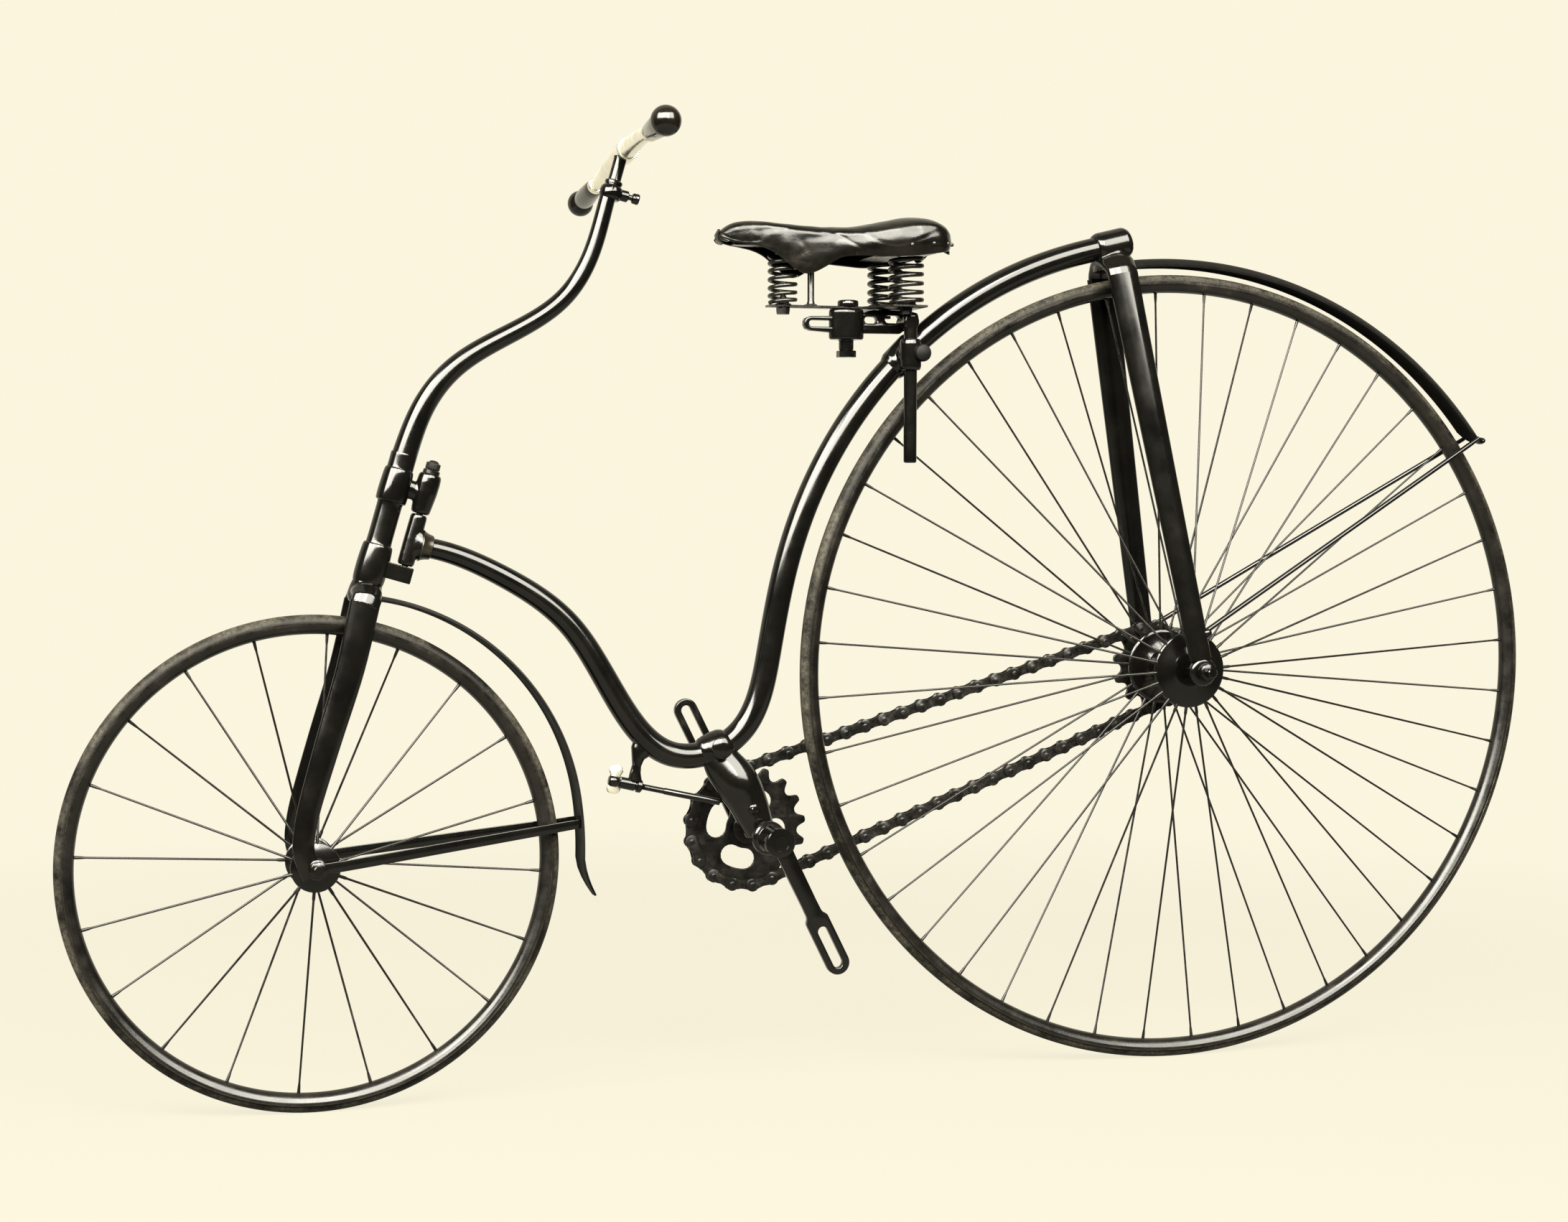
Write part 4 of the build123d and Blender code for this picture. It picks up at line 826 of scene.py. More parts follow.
# ---------- backbone and curved stem ----------
BACKBONE = [
    # x, z, radius: control points of the tube's line, front to rear
    (928.1, 633.7, 11.53), (896.8, 629.4, 11.71), (834.1, 601.1, 12.53), (753.2, 550.1, 13.61),
    (706.5, 456.0, 14.41), (646.5, 372.3, 14.79), (539.1, 406.5, 14.79), (520.4, 515.6, 14.67),
    (503.2, 610.9, 14.7), (471.1, 702.2, 14.76), (422.0, 787.8, 14.89), (358.5, 862.0, 14.88),
    (280.9, 924.4, 14.7), (195.6, 969.1, 14.54), (131.1, 988.4, 14.5), (100.0, 995.1, 14.44),
]
STEM = [
    (953.9, 720.0, 14.8), (946.9, 740.9, 14.12), (933.1, 789.8, 13.11), (890.6, 843.3, 12.06),
    (826.0, 876.1, 11.23), (764.2, 911.0, 10.47), (729.6, 969.6, 9.86), (719.2, 1019.5, 9.43),
    (713.1, 1040.0, 9.2),
]
CURVES = [
    # name, body, control points, steps, sides, nodes
    ("curved_backbone", "frame", BACKBONE, 260, 40, ["backbone_front", "backbone_middle", "backbone_rear"]),
    ("swan_stem", "steering", STEM, 140, 36, ["curved_stem"]),
]
for name, body, controls, steps, sides, nodes in CURVES:
    rows = b_spline(controls, steps)
    tube = Shape().tube([(x, 0, z) for x, z, _ in rows], [r for _, _, r in rows], sides)
    piece(name, tube, body, "black_enamel", nodes)

# ---------- crank bracket ----------
bracket = Shape()
bracket.tube([(RING_X, y, RING_Z) for y in (-44, -38, 0, 36)], [16.6, 17.4, 17.4, 17.4], 40)
bracket.lathe([(0, 12), (0, 18.8), (1.2, 20.0), (8.0, 20.0), (9.4, 18.8), (9.8, 16.4), (14.0, 16.0),
               (14.8, 12)], (RING_X, 33.0, RING_Z), (RING_X, 60, RING_Z), 44)
HANGER = [
    # x, z, half width in the plane, y, half thickness
    (588.4, 399.5, 18.5, 4.0, 8.5),
    (578.0, 379.0, 23.5, 5.5, 14.5),
    (562.5, 358.0, 26.0, 6.5, 20.5),
    (549.8, 336.5, 23.5, 6.5, 20.0),
    (541.6, 317.6, 21.0, 6.5, 20.0),
    (533.6, 298.5, 17.5, 6.5, 19.0),
]
rows = spline_through(HANGER, 6)
bracket.tube([(r[0], r[3], r[1]) for r in rows], [(r[2], r[4]) for r in rows], 36)
cast_piece("bracket_casting", bracket, 1.3, 7, "frame", ["bracket_hanger"])
lug = Shape()
lug.tube([(606, 0, 392), (602.5, 0, 393), (596, 0, 395.2), (587, 0, 398.4), (578, 0, 402), (573, 0, 404.4),
          (570, 0, 406)], [14.6, 16.8, 18.6, 19.6, 19.2, 17.2, 14.6], 40)
lug.tube([(586.5, -24, 400.5), (586.5, -21, 400.5), (586.5, 27, 400.5), (586.5, 31, 400.5)],
         [13.6, 15.6, 15.6, 13.2], 36)
cast_piece("bracket_socket", lug, 1.3, 6, "frame", ["bracket_lug"])
bolts = Shape()
bolts.lathe([(0, 8.0), (0, 11.8), (1.2, 12.6), (3.0, 12.4), (5.0, 9.6), (5.8, 5.0), (6.0, 0.4)],
            (586.5, 30, 400.5), (586.5, 80, 400.5), 32)
bolts.hexagon((547.5, 25.4, 327.5), (0, 1, 0), 6.4, 4.2, turn=12)
bolts.lathe([(0, 3.0), (0, 3.6), (2.0, 3.6), (3.0, 2.6), (3.0, 0.4)], (547.5, 29.4, 327.5),
            (547.5, 60, 327.5), 16)
piece("bracket_bolts", bolts, "frame", "black_enamel")
lug = Shape()
lug.tube([(672.0, 0, 402), (676.4, 0, 396), (679.4, 0, 388.5), (680.8, 0, 380), (682.4, 0, 372),
          (683.0, 0, 362)], [(15.0, 9.0), (12.4, 9.0), (7.6, 8.4), (5.4, 7.4), (6.4, 7.4), (8.4, 8.6)], 28)
cast_piece("adjuster_eye", lug, 0.9, 3, "frame", ["adjuster_lug"])
screw = Shape()
start, end = Vector((714.0, 0, 364.0)), Vector((580.0, 0, 334.0))
way = (end - start).normalized()
profile = [(39.0, 0.4), (39.0, 3.0)]
d = 40.0
while d < 66:
    profile += [(d, 3.7), (d + 0.8, 3.2)]
    d += 1.6
profile += [(68.0, 3.9), (136.0, 3.9), (136.0, 0.4)]
screw.lathe(profile, start, end, 24)
piece("adjuster_screw", screw, "frame", "black_enamel", ["adjuster_rod"], angle=50)
nut = Shape()
nut.lathe([(0, 0.4), (0, 4.6), (1.2, 6.2), (3.0, 6.8), (9.5, 6.8), (11.0, 5.8), (12.4, 5.6), (13.4, 6.8),
           (31.0, 7.0), (32.2, 5.6), (33.4, 5.6), (34.2, 7.8), (38.6, 7.8), (39.8, 6.6),
           (39.8, 0.4)], start, end, 32)
piece("adjuster_long_nut", nut, "frame", "black_enamel", angle=40)
nut = Shape()
nut.tube([(704.0, 0, 381.0), (704.2, 0, 379.4), (705.0, 0, 374.6), (706.2, 0, 369.0), (707.4, 0, 364.0),
          (708.0, 0, 359.0), (708.4, 0, 353.6), (708.8, 0, 349.4), (709.0, 0, 348.0)],
         [(3.0, 1.0), (6.4, 1.8), (8.6, 2.4), (6.0, 2.4), (4.4, 2.4), (6.0, 2.4), (8.6, 2.4), (6.4, 1.8),
          (3.0, 1.0)], 24)
piece("adjuster_wing_nut", nut, "frame", "nickel", angle=40)

# ---------- rear crown, fork, axle and mudguard ----------
crown = Shape()
crown.tube([(109.5, 0, 992.8), (104.5, 0, 994.1), (71.5, 0, 1002.3), (66.0, 0, 1003.8)],
           [16.8, 19.2, 19.2, 15.8], 36)
crown.tube([(89, 0, 996), (87, 0, 982), (86, 0, 968)], [(20, 17), (21, 20), (24, 24)], 32)
for sign in (1, -1):
    crown.tube([(88, 0, 984), (87, sign * 16, 976), (86, sign * 27, 966), (85, sign * 32, 952)],
               [(23, 12), (22, 11), (20, 10), (18.6, 9.6)], 28)
cast_piece("rear_fork_crown", crown, 1.4, 8, "frame", ["rear_crown"])
fork = Shape()
for sign in (1, -1):
    top, low = Vector((86.5, sign * 31.0, 962.0)), Vector((2.5, sign * 80.0, 497.0))
    shares = [i / 24 for i in range(25)]
    fork.tube([top.lerp(low, t) for t in shares], [(19.4 - 5.2 * t, 10.0 - 3.4 * t) for t in shares], 32)
    eye = [(0, 0.4), (0, 13.0), (1.2, 15.8), (3.0, 17.0), (9.0, 17.0), (10.8, 16.0), (12.0, 13.0),
           (12.0, 0.4)]
    fork.lathe(eye, (0, sign * 74.0, REAR_R), (0, sign * 100, REAR_R), 40)
piece("rear_fork_blades", fork, "frame", "black_enamel", ["rear_fork"], angle=50)
ends = Shape()
for sign in (1, -1):
    far = (0, sign * 200, REAR_R)
    ends.lathe([(0, 5.0), (0, 5.9), (11, 5.9), (12, 5.0), (12, 0.4)], (0, sign * 97, REAR_R), far, 24)
    ends.lathe([(0, 3), (0, 10.6), (2.0, 10.6), (2.2, 9.8)], (0, sign * 89, REAR_R), far, 32)
    ends.hexagon((0, sign * 91, REAR_R), (0, sign, 0), 10.4, 6.2, turn=17)
    ends.lathe([(0, 0.4), (0, 6.0), (82.0, 6.0)], (0, sign * 82, REAR_R), (0, 0, REAR_R), 24)
piece("rear_axle_and_nuts", ends, "frame", "black_enamel", ["rear_axle"])


def mudguard(path, drop):
    """An arched blade along (x, z, half width) rows, whose outer side lies to the left of its line."""
    rings = []
    widest = max(row[2] for row in path)
    for i, (x, z, half) in enumerate(path):
        before, after = path[max(i - 1, 0)], path[min(i + 1, len(path) - 1)]
        along = Vector((after[0] - before[0], 0, after[1] - before[1])).normalized()
        out = Vector((-along.z, 0, along.x))
        centre = Vector((x, 0, z))
        outer, inner = [], []
        for j in range(15):
            u = -1 + 2 * j / 14
            fall = drop * (u * half / widest) ** 2
            roll = 0.5 if j in (0, 14) else 0.0
            outer.append(centre - out * (fall - roll) + Vector((0, u * half, 0)))
            inner.append(centre - out * (fall + 1.7 + roll) + Vector((0, u * half * 0.97, 0)))
        rings.append(outer + inner[::-1])
    return Shape().rings(rings)


REAR_GUARD = (3.8, 455.4)  # the centres of both guards' arcs
FRONT_GUARD = (1020.3, 306.4)
path = []
for i in range(91):
    spot = polar(*REAR_GUARD, 529.5, 143.8 + (80.0 - 143.8) * i / 90)
    path.append((spot.x, spot.z, 16.5 * min(1.0, 0.62 + 0.38 * math.sqrt(min(1.0, i / 3.0)))))
piece("rear_mudguard_blade", mudguard(path, 8.5), "frame", "dull_enamel", ["rear_mudguard"])
path = [(729.5, 231.5, 5.0), (731.2, 235.0, 9.0), (734.6, 243.0, 14.0), (738.0, 252.5, 18.0),
        (741.0, 263.0, 20.4)]
for i in range(71):
    spot = polar(*FRONT_GUARD, 276.0, 186.6 + (97.6 - 186.6) * i / 70)
    flare = 3.2 * max(0.0, 1 - i / 12.0) ** 2
    path.append((spot.x - flare, spot.z, 21.0))
piece("front_mudguard_blade", mudguard(path, 4.0), "steering", "dull_enamel", ["front_mudguard"])

stays = Shape()
for sign in (1, -1):
    tip = polar(*REAR_GUARD, 522.9, 143.1, sign * 17.6)
    foot = Vector((-1.0, sign * 76.0, 528.0))
    stays.tube([foot, foot.lerp(tip, 0.04), foot.lerp(tip, 0.96), tip], [3.4, 3.1, 3.1, 2.6], 16)
    stays.ball((-7.0, sign * 79.0, 529.0), 5.4, squash=(1, 0.8, 1), rows=10, sides=18)
stays.ball((-427.0, 0, 766.5), 4.6, squash=(1, 2.4, 1), rows=12, sides=18)
piece("rear_guard_stays", stays, "frame", "black_enamel", ["rear_mudguard_stays"])
GUARD_STAY_RISE = 7.0
stays = Shape()
for sign in (1, -1):
    rows = [
        # distance back, y of the middle, half width
        (0, 50.0, 6.0), (30, 50.0, 6.0), (60, 46.8, 6.0), (150, 35.0, 5.8), (240, 23.6, 5.6),
        (303.0, 15.6, 5.2),
    ]
    slope = math.tan(math.radians(GUARD_STAY_RISE))
    pts = [(FRONT_X - d, sign * y, FRONT_R + d * slope) for d, y, _ in rows]
    rings = []
    for (x, y, z), (_, _, w) in zip(pts, rows):
        corners = ((-1.3, -w), (1.3, -w), (1.3, w), (-1.3, w))
        rings.append([Vector((x, y + across, z + up)) for across, up in corners])
    stays.rings(rings)
    stays.lathe([(0, 5.0), (0, 9.8), (2.8, 9.8), (2.8, 5.0)], (FRONT_X, sign * 48.6, FRONT_R),
                (FRONT_X, sign * 200, FRONT_R), 28)
finish_piece(bevel(new_object("front_guard_stays", stays), 0.5, 2), "steering", "black_enamel",
             ["front_mudguard_stays"])

# ---------- steering head, column, crown and front fork ----------
head = Shape()
head.lathe([(0, 7.6), (1, 8.8), (3, 9.6), (30, 9.8), (56, 9.6), (58.6, 9.0), (59.5, 8.2)], axis_point(13.5),
           axis_point(73), 36)
head.tube([axis_point(40.0), Vector((938, 0, 638.0)), Vector((930, 0, 635.2)), Vector((924, 0, 633.6))],
          [(25.0, 9.6), (20.5, 11.0), (16.0, 12.2), (13.4, 12.6)], 32)
cast_piece("head_socket", head, 1.1, 6, "frame", ["steering_head"])
band = Shape().lathe([(0, 14.0), (0, 17.6), (0.8, 18.0), (5.0, 15.6), (9.0, 14.4), (12.2, 13.8),
                      (13.0, 12.8), (13.0, 11.6)], (931.0, 0, 635.4), (918.0, 0, 632.4), 40)
piece("head_collar_band", band, "frame", "bright_steel", angle=40)
COLUMN_ROWS = [
    # place up the axis, radius
    (-20.0, 12.0), (-18.6, 15.2), (-17.0, 16.9), (-13.0, 17.8), (-6.0, 18.2), (6.0, 18.2), (16.0, 17.8),
    (24.0, 17.2), (27.0, 16.6), (28.2, 15.6), (29.0, 14.5), (40.0, 14.2), (60.0, 14.2), (76.0, 14.4),
    (77.4, 15.6), (78.2, 16.8), (80.0, 17.4), (88.0, 17.7), (100.0, 17.4), (110.0, 16.9), (114.4, 16.2),
    (116.0, 15.2), (117.0, 14.6), (126.0, 14.5), (133.0, 14.5), (133.4, 13.6),
]
column_low = axis_point(-20.0, COLUMN_AHEAD)
rows = [(up + 20.0, r) for up, r in spline_through(COLUMN_ROWS, 3)]
tube = Shape().lathe(rows, column_low, axis_point(100, COLUMN_AHEAD), 72)
column_tube = new_object("column_tube", tube, 60)
column = Shape()
arm = []
for ahead in (-9.8, 24.0):
    corners = ((-6.0, -10.0), (-6.0, 10.0), (12.4, 10.0), (12.4, -10.0))
    arm.append([axis_point(up, ahead, y) for up, y in corners])
column.rings(arm)
column.lathe([(0, 6.4), (0.6, 9.6), (2.6, 10.8), (12, 11.8), (24, 13.0), (36, 13.4), (43, 13.0),
              (46.0, 11.8), (46.8, 8.0)], axis_point(73.8), axis_point(120), 40)
column.tube([axis_point(96.5, 2), axis_point(97, 14), axis_point(97.5, 30)],
            [(11.4, 8.0), (10.6, 7.4), (12.5, 9.4)], 28)
column = merge("steering_column_casting", [column_tube, cast("column_arms", column, 1.0, 5)])
finish_piece(column, "steering", "black_enamel", ["steering_column"])
bolt = Shape()
bolt.lathe([(0, 8.2), (0.6, 9.6), (4.2, 9.6), (5.4, 8.6), (6.2, 6.4)], axis_point(119.8), axis_point(200), 32)
bolt.hexagon(axis_point(125.6), axis_point(20) - axis_point(0), 8.2, 7.6, turn=20)
bolt.lathe([(0, 6.2), (1.6, 5.4), (2.8, 3.4), (3.2, 0.4)], axis_point(133.0), axis_point(200), 24)
bolt.lathe([(0, 3.9), (120, 3.9)], axis_point(-4), axis_point(200), 20)
piece("head_bolt", bolt, "steering", "dark_steel", ["centre_bolt"])
crown = Shape()
crown.tube([axis_point(s, COLUMN_AHEAD) for s in (-42, -34, -24, -14)],
           [(15, 17), (19, 19), (18.4, 18.4), (16.5, 16.5)], 36)
mid = axis_point(-27, COLUMN_AHEAD)
for sign in (1, -1):
    low = axis_point(-44, COLUMN_AHEAD, sign * 28.5)
    crown.tube([mid, mid + Vector((0, sign * 16, -1.5)), mid + Vector((1, sign * 25, -7)), low],
               [(18, 13), (17.5, 11.5), (17.0, 10.0), (16.8, 8.6)], 28)
cast_piece("front_fork_crown", crown, 1.3, 8, "steering", ["fork_crown"])
fork = Shape()
for sign in (1, -1):
    top = axis_point(-38, COLUMN_AHEAD, sign * 27.5)
    controls = [
        (top.x, top.y, top.z, 17.0, 8.0),
        (1013.5, sign * 31.5, 500.0, 16.0, 7.4),
        (1038.5, sign * 36.5, 420.0, 14.4, 6.6),
        (1059.5, sign * 41.0, 350.0, 12.8, 5.8),
        (1066.2, sign * 43.4, 318.0, 12.2, 4.9),
        (1067.0, sign * 44.0, 300.0, 12.0, 4.4),
        (1062.0, sign * 44.0, 284.0, 12.6, 4.3),
        (1056.5, sign * 44.0, 272.5, 12.4, 4.0),
    ]
    rows = spline_through(controls, 6)
    fork.tube([r[:3] for r in rows], [(r[3], r[4]) for r in rows], 28)
    eye = [(0, 0.4), (0, 9.5), (1, 11.5), (2, 12.0), (7, 12.0), (8, 11.5), (9, 9.5), (9, 0.4)]
    fork.lathe(eye, (FRONT_X, sign * 39.5, FRONT_R), (FRONT_X, sign * 100, FRONT_R), 36)
piece("front_fork_blades", fork, "steering", "black_enamel", ["front_fork"], angle=50)
ends = Shape()
for sign in (1, -1):
    ends.hexagon((FRONT_X, sign * 51.5, FRONT_R), (0, sign, 0), 10.3, 7.6, turn=9)
    ends.lathe([(0, 5.0), (0, 5.9), (3.4, 5.9), (4, 5.2), (4, 0.4)], (FRONT_X, sign * 59.4, FRONT_R),
               (FRONT_X, sign * 200, FRONT_R), 24)
    ends.lathe([(0, 0.4), (0, 6.0), (48, 6.0)], (FRONT_X, sign * 48, FRONT_R), (FRONT_X, 0, FRONT_R), 24)
piece("front_axle_and_nuts", ends, "steering", "black_enamel", ["front_axle"])

# ---------- handlebar ----------
low = Vector((BAR_X + 4.0, 0, BAR_Z)) - BAR_NECK * 58.0
collar = Shape()
collar.lathe([(0, 9.4), (0, 10.4), (1.0, 11.8), (4.0, 13.0), (9.0, 13.4), (13.0, 12.6), (15.6, 10.6),
              (16.4, 9.2), (17.2, 9.2), (18.0, 10.2), (20.8, 10.2), (22.0, 9.0), (22.6, 7.6), (24.0, 7.4),
              (46.0, 7.4), (50.0, 8.0)], low, low + BAR_NECK * 30, 44)
set_at = low + BAR_NECK * 8.0
set_way = Vector((-0.976, 0, -0.218))
collar.lathe([(6, 6.4), (17.6, 6.6), (19.6, 6.4), (20.4, 5.4), (20.6, 3.2), (24.8, 3.2), (25.4, 5.2),
              (26.4, 6.0), (32.0, 6.4), (33.2, 5.6), (33.4, 0.4)], set_at, set_at + set_way * 20, 28)
piece("bar_collar", collar, "steering", "black_enamel", ["bar_stem"])


def turned_bar(shape):
    """Turns the handlebar's shapes on its neck to where it is clamped."""
    turn = Matrix.Rotation(BAR_TURN, 3, BAR_NECK)
    middle = Vector((BAR_X, 0, BAR_Z))
    shape.verts = [middle + turn @ (v - middle) for v in shape.verts]
    return shape


def bar_half(sign):
    """The ends of the bar's left or right half, before its turn."""
    return Vector((BAR_X, sign * 14.0, BAR_Z)), Vector((BAR_X + 8.6, sign * 311.0, BAR_Z - 18.0))


bar = Shape()
bar.lathe([(0, 11.6), (0, 12.4), (0.8, 13.0), (4, 13.0), (5, 12.6), (35, 12.6), (36, 13.0), (39.2, 13.0),
           (40, 12.4), (40, 11.6)], (BAR_X, -20, BAR_Z), (BAR_X, 20, BAR_Z), 40)
for sign in (1, -1):
    middle, end = bar_half(sign)
    points, radii = [], []
    for i in range(31):
        t = i / 30
        points.append(middle.lerp(end, 0.64 * t) + Vector((0, 0, 2.0 * math.sin(math.pi * t))))
        radii.append(11.6 - 4.6 * t ** 0.9)
    bar.tube(points, radii, 28, up=(0, 0, 1))
    at, out = middle.lerp(end, 0.61), (end - middle).normalized()
    bar.lathe([(0, 6.6), (0, 8.0), (1.6, 9.8), (4.0, 10.4), (6.4, 10.2), (8.4, 9.0), (9.6, 7.0)],
              at, at + out * 20, 36)
piece("nickel_handlebar", turned_bar(bar), "steering", "nickel", ["handlebar"])
grips = Shape()
for sign in (1, -1):
    middle, end = bar_half(sign)
    start = middle.lerp(end, 0.64)
    c = (end - start).length
    profile = [(0, 7.0), (0.6, 8.6), (4, 9.8), (20, 11.2), (c - 48, 12.6), (c - 30, 12.4), (c - 20, 11.4),
               (c - 14, 10.6)]
    for i in range(17):
        a = math.radians(42 + 138 * i / 16)
        profile.append((c - 16.2 * math.cos(a), max(0.3, 16.2 * math.sin(a))))
    grips.lathe(profile, start, end, 44)
piece("ball_end_grips", turned_bar(grips), "steering", "grip_horn", ["grips"])

# ---------- seat pin and clamp ----------
SLOTTED = [(472, 886.8), (478, 889.0), (480, 893), (480, 898), (478, 901.6), (472, 903.7), (446, 904.4),
           (420, 904.5), (410, 907.5), (400, 911.5), (394, 912.5), (352, 912.5), (351, 910.0), (351, 896),
           (354, 890), (362, 885), (420, 884.5), (446, 885.0)]
SLOTTED_HOLES = [
    # front end x, rear end x, z, half width
    (470.5, 418.0, 895.3, 3.8),
    (402.0, 394.0, 900.5, 4.0),
    (376.0, 366.0, 902.0, 4.5),
]
holes = []
for x_front, x_rear, z, half in SLOTTED_HOLES:
    holes.append(arc(x_front, z, half, -90, 90, 9) + arc(x_rear, z, half, 90, 270, 9))
bar_plate = flat_plate("slotted_bar", SLOTTED, -6.0, 6.0, holes, edge=1.6)
post = Shape()
post.lathe([(0, 0.4), (0, 6.4), (1.2, 7.8), (158, 7.8), (166, 8.6), (172, 9.4), (176, 8.0), (178, 0.4)],
           (356.5, 28, 732), (356.5, 28, 900), 32)
post.lathe([(0, 8.6), (20, 8.6), (32, 9.4), (34, 8.6), (34, 0.4)], (356.5, 0, 898), (356.5, 34, 898), 32)
pin = merge("seat_pin_casting", [bar_plate, cast("post", post, 1.0, 4)])
finish_piece(pin, "frame", "black_enamel", ["seat_pin"])
lug = Shape()
lug.tube([(372.5, 0, 842.5), (367, 0, 848.4), (345, 0, 871.0), (339.5, 0, 876.6)],
         [15.4, 18.6, 18.6, 15.4], 36)
lug.tube([(354.7, 0, 861), (355.2, 14, 861), (356, 28, 860.5)], [(15, 15), (14, 14), (13.2, 15)], 28)
lug.tube([(356.5, 28, 841), (356.5, 28, 845), (356.5, 28, 873), (356.5, 28, 878)],
         [11.0, 12.8, 12.8, 11.0], 32)
cast_piece("seat_lug_casting", lug, 1.2, 6, "frame", ["seat_lug"])
bolt = Shape()
bolt.lathe([(0, 7.0), (8, 7.0), (8.6, 9.0), (10.0, 10.2), (16, 10.4), (19, 9.0), (20.4, 5.6), (20.8, 0.4)],
           (346, 26.4, 861), (346, 80, 861), 32)
piece("seat_eye_bolt", bolt, "frame", "dull_enamel")
clamp = Shape()
clamp.tube([(427, 0, 877), (427, 0, 879), (427, 0, 910), (427, 0, 912.6)],
           [(19.4, 13.6), (21.2, 15.2), (21.2, 15.2), (20.0, 14.0)], 40)
clamp.lathe([(0, 8.0), (0, 8.8), (13, 8.8)], (427, 0, 864.5), (427, 0, 900), 28)
clamp = cast("clamp_body", clamp, 1.1, 3)
nuts = Shape()
nuts.hexagon((427, 0, 856.2), (0, 0, 1), 11.9, 8.0)
nuts.lathe([(0, 9.6), (0, 12.0), (2.0, 12.4), (5.6, 12.4), (7.2, 11.4), (8.0, 8.6), (8.2, 0.4)],
           (425, 0, 915.8), (425, 0, 930), 32)
clamp = merge("saddle_clamp_block", [clamp, new_object("clamp_nuts", nuts)])
finish_piece(clamp, "frame", "black_enamel", ["saddle_clamp"])

# ---------- saddle ----------
BASE = mirrored([(524, 9), (410, 9), (400, 30), (388, 56), (345, 56)])
base = Shape()
rings = []
for z, grow in ((913.1, -0.8), (913.6, 0.0), (915.4, 0.0), (915.9, -0.8)):
    rings.append([
        Vector((x + (grow if x > 400 else -grow), y + (grow if y > 0 else -grow), z)) for x, y in BASE])
base.rings(rings)
base.lathe([(0, 0.4), (0, 7.4), (4.6, 8.0), (8.2, 8.0)], (505, 0, 905), (505, 0, 930), 6)
base.lathe([(0, 9.8), (1.5, 9.8), (2.4, 7.6), (12, 3.0), (13.0, 0.4)], (505, 0, 915.6), (505, 0, 940), 24)
base.lathe([(0, 7.8), (1.6, 7.8), (2.6, 5.0), (6, 4.0), (61, 4.0), (63, 6.4), (66, 8.4), (68, 8.4),
            (68.4, 0.4)], (471, 0, 915.4), (471, 0, 990), 24)
for x, y in ((366, 38), (366, -38)):
    base.lathe([(0, 13.0), (1.4, 13.0), (2.0, 11.8), (6.5, 11.0), (7.6, 5.0), (7.8, 0.4)], (x, y, 915.6),
               (x, y, 940), 28)
    base.lathe([(0, 0.4), (0, 7.0), (5.5, 7.4), (8, 7.4)], (x, y, 905.5), (x, y, 930), 6)
piece("saddle_base_plate", base, "frame", "spring_steel", ["saddle_base"])


def coil(shape, x, y, low, high, turns, mean, wire):
    """An open coil with closed end turns."""
    pts = []
    steps = int(turns * 28)
    for i in range(steps + 1):
        t = i / steps
        a = 2 * math.pi * turns * t
        ease = t - 0.020 * math.sin(2 * math.pi * t)
        z = low + wire + (high - low - 2 * wire) * ease
        pts.append(Vector((x + mean * math.cos(a), y + mean * math.sin(a), z)))
    shape.tube(pts, wire, 12, up=(0, 0, 1))


COILS = [
    # x, y, foot, top, turns, mean radius, wire radius
    (366.0, 38.0, 916.2, 974.0, 5.5, 18.7, 2.7),
    (366.0, -38.0, 916.2, 974.0, 5.5, 18.7, 2.7),
    (505.6, 0.0, 916.2, 975.0, 6.0, 15.4, 2.4),
]
springs = Shape()
for row in COILS:
    coil(springs, *row)
piece("saddle_coil_springs", springs, "frame", "spring_steel", ["saddle_springs"])

under = Shape()
for outline, z1, z2 in ((mirrored([(332, 50), (346, 76), (372, 80), (390, 68)]), 976.6, 984.0),
                        (mirrored([(566, 8), (488, 22)]), 983.4, 990.0)):
    rings = []
    for z, grow in ((z1, 0.98), (z1 + 0.8, 1.0), (z2 - 0.8, 1.0), (z2, 0.98)):
        mx = sum(p[0] for p in outline) / len(outline)
        rings.append([Vector((mx + (x - mx) * grow, y * grow, z)) for x, y in outline])
    under.rings(rings)
under.lathe([(0, 4), (0, 9.0), (9, 9.0), (9, 4)], (505.6, 0, 974.0), (505.6, 0, 990), 20)
piece("saddle_under_frame", under, "frame", "spring_steel", ["saddle_frame"])

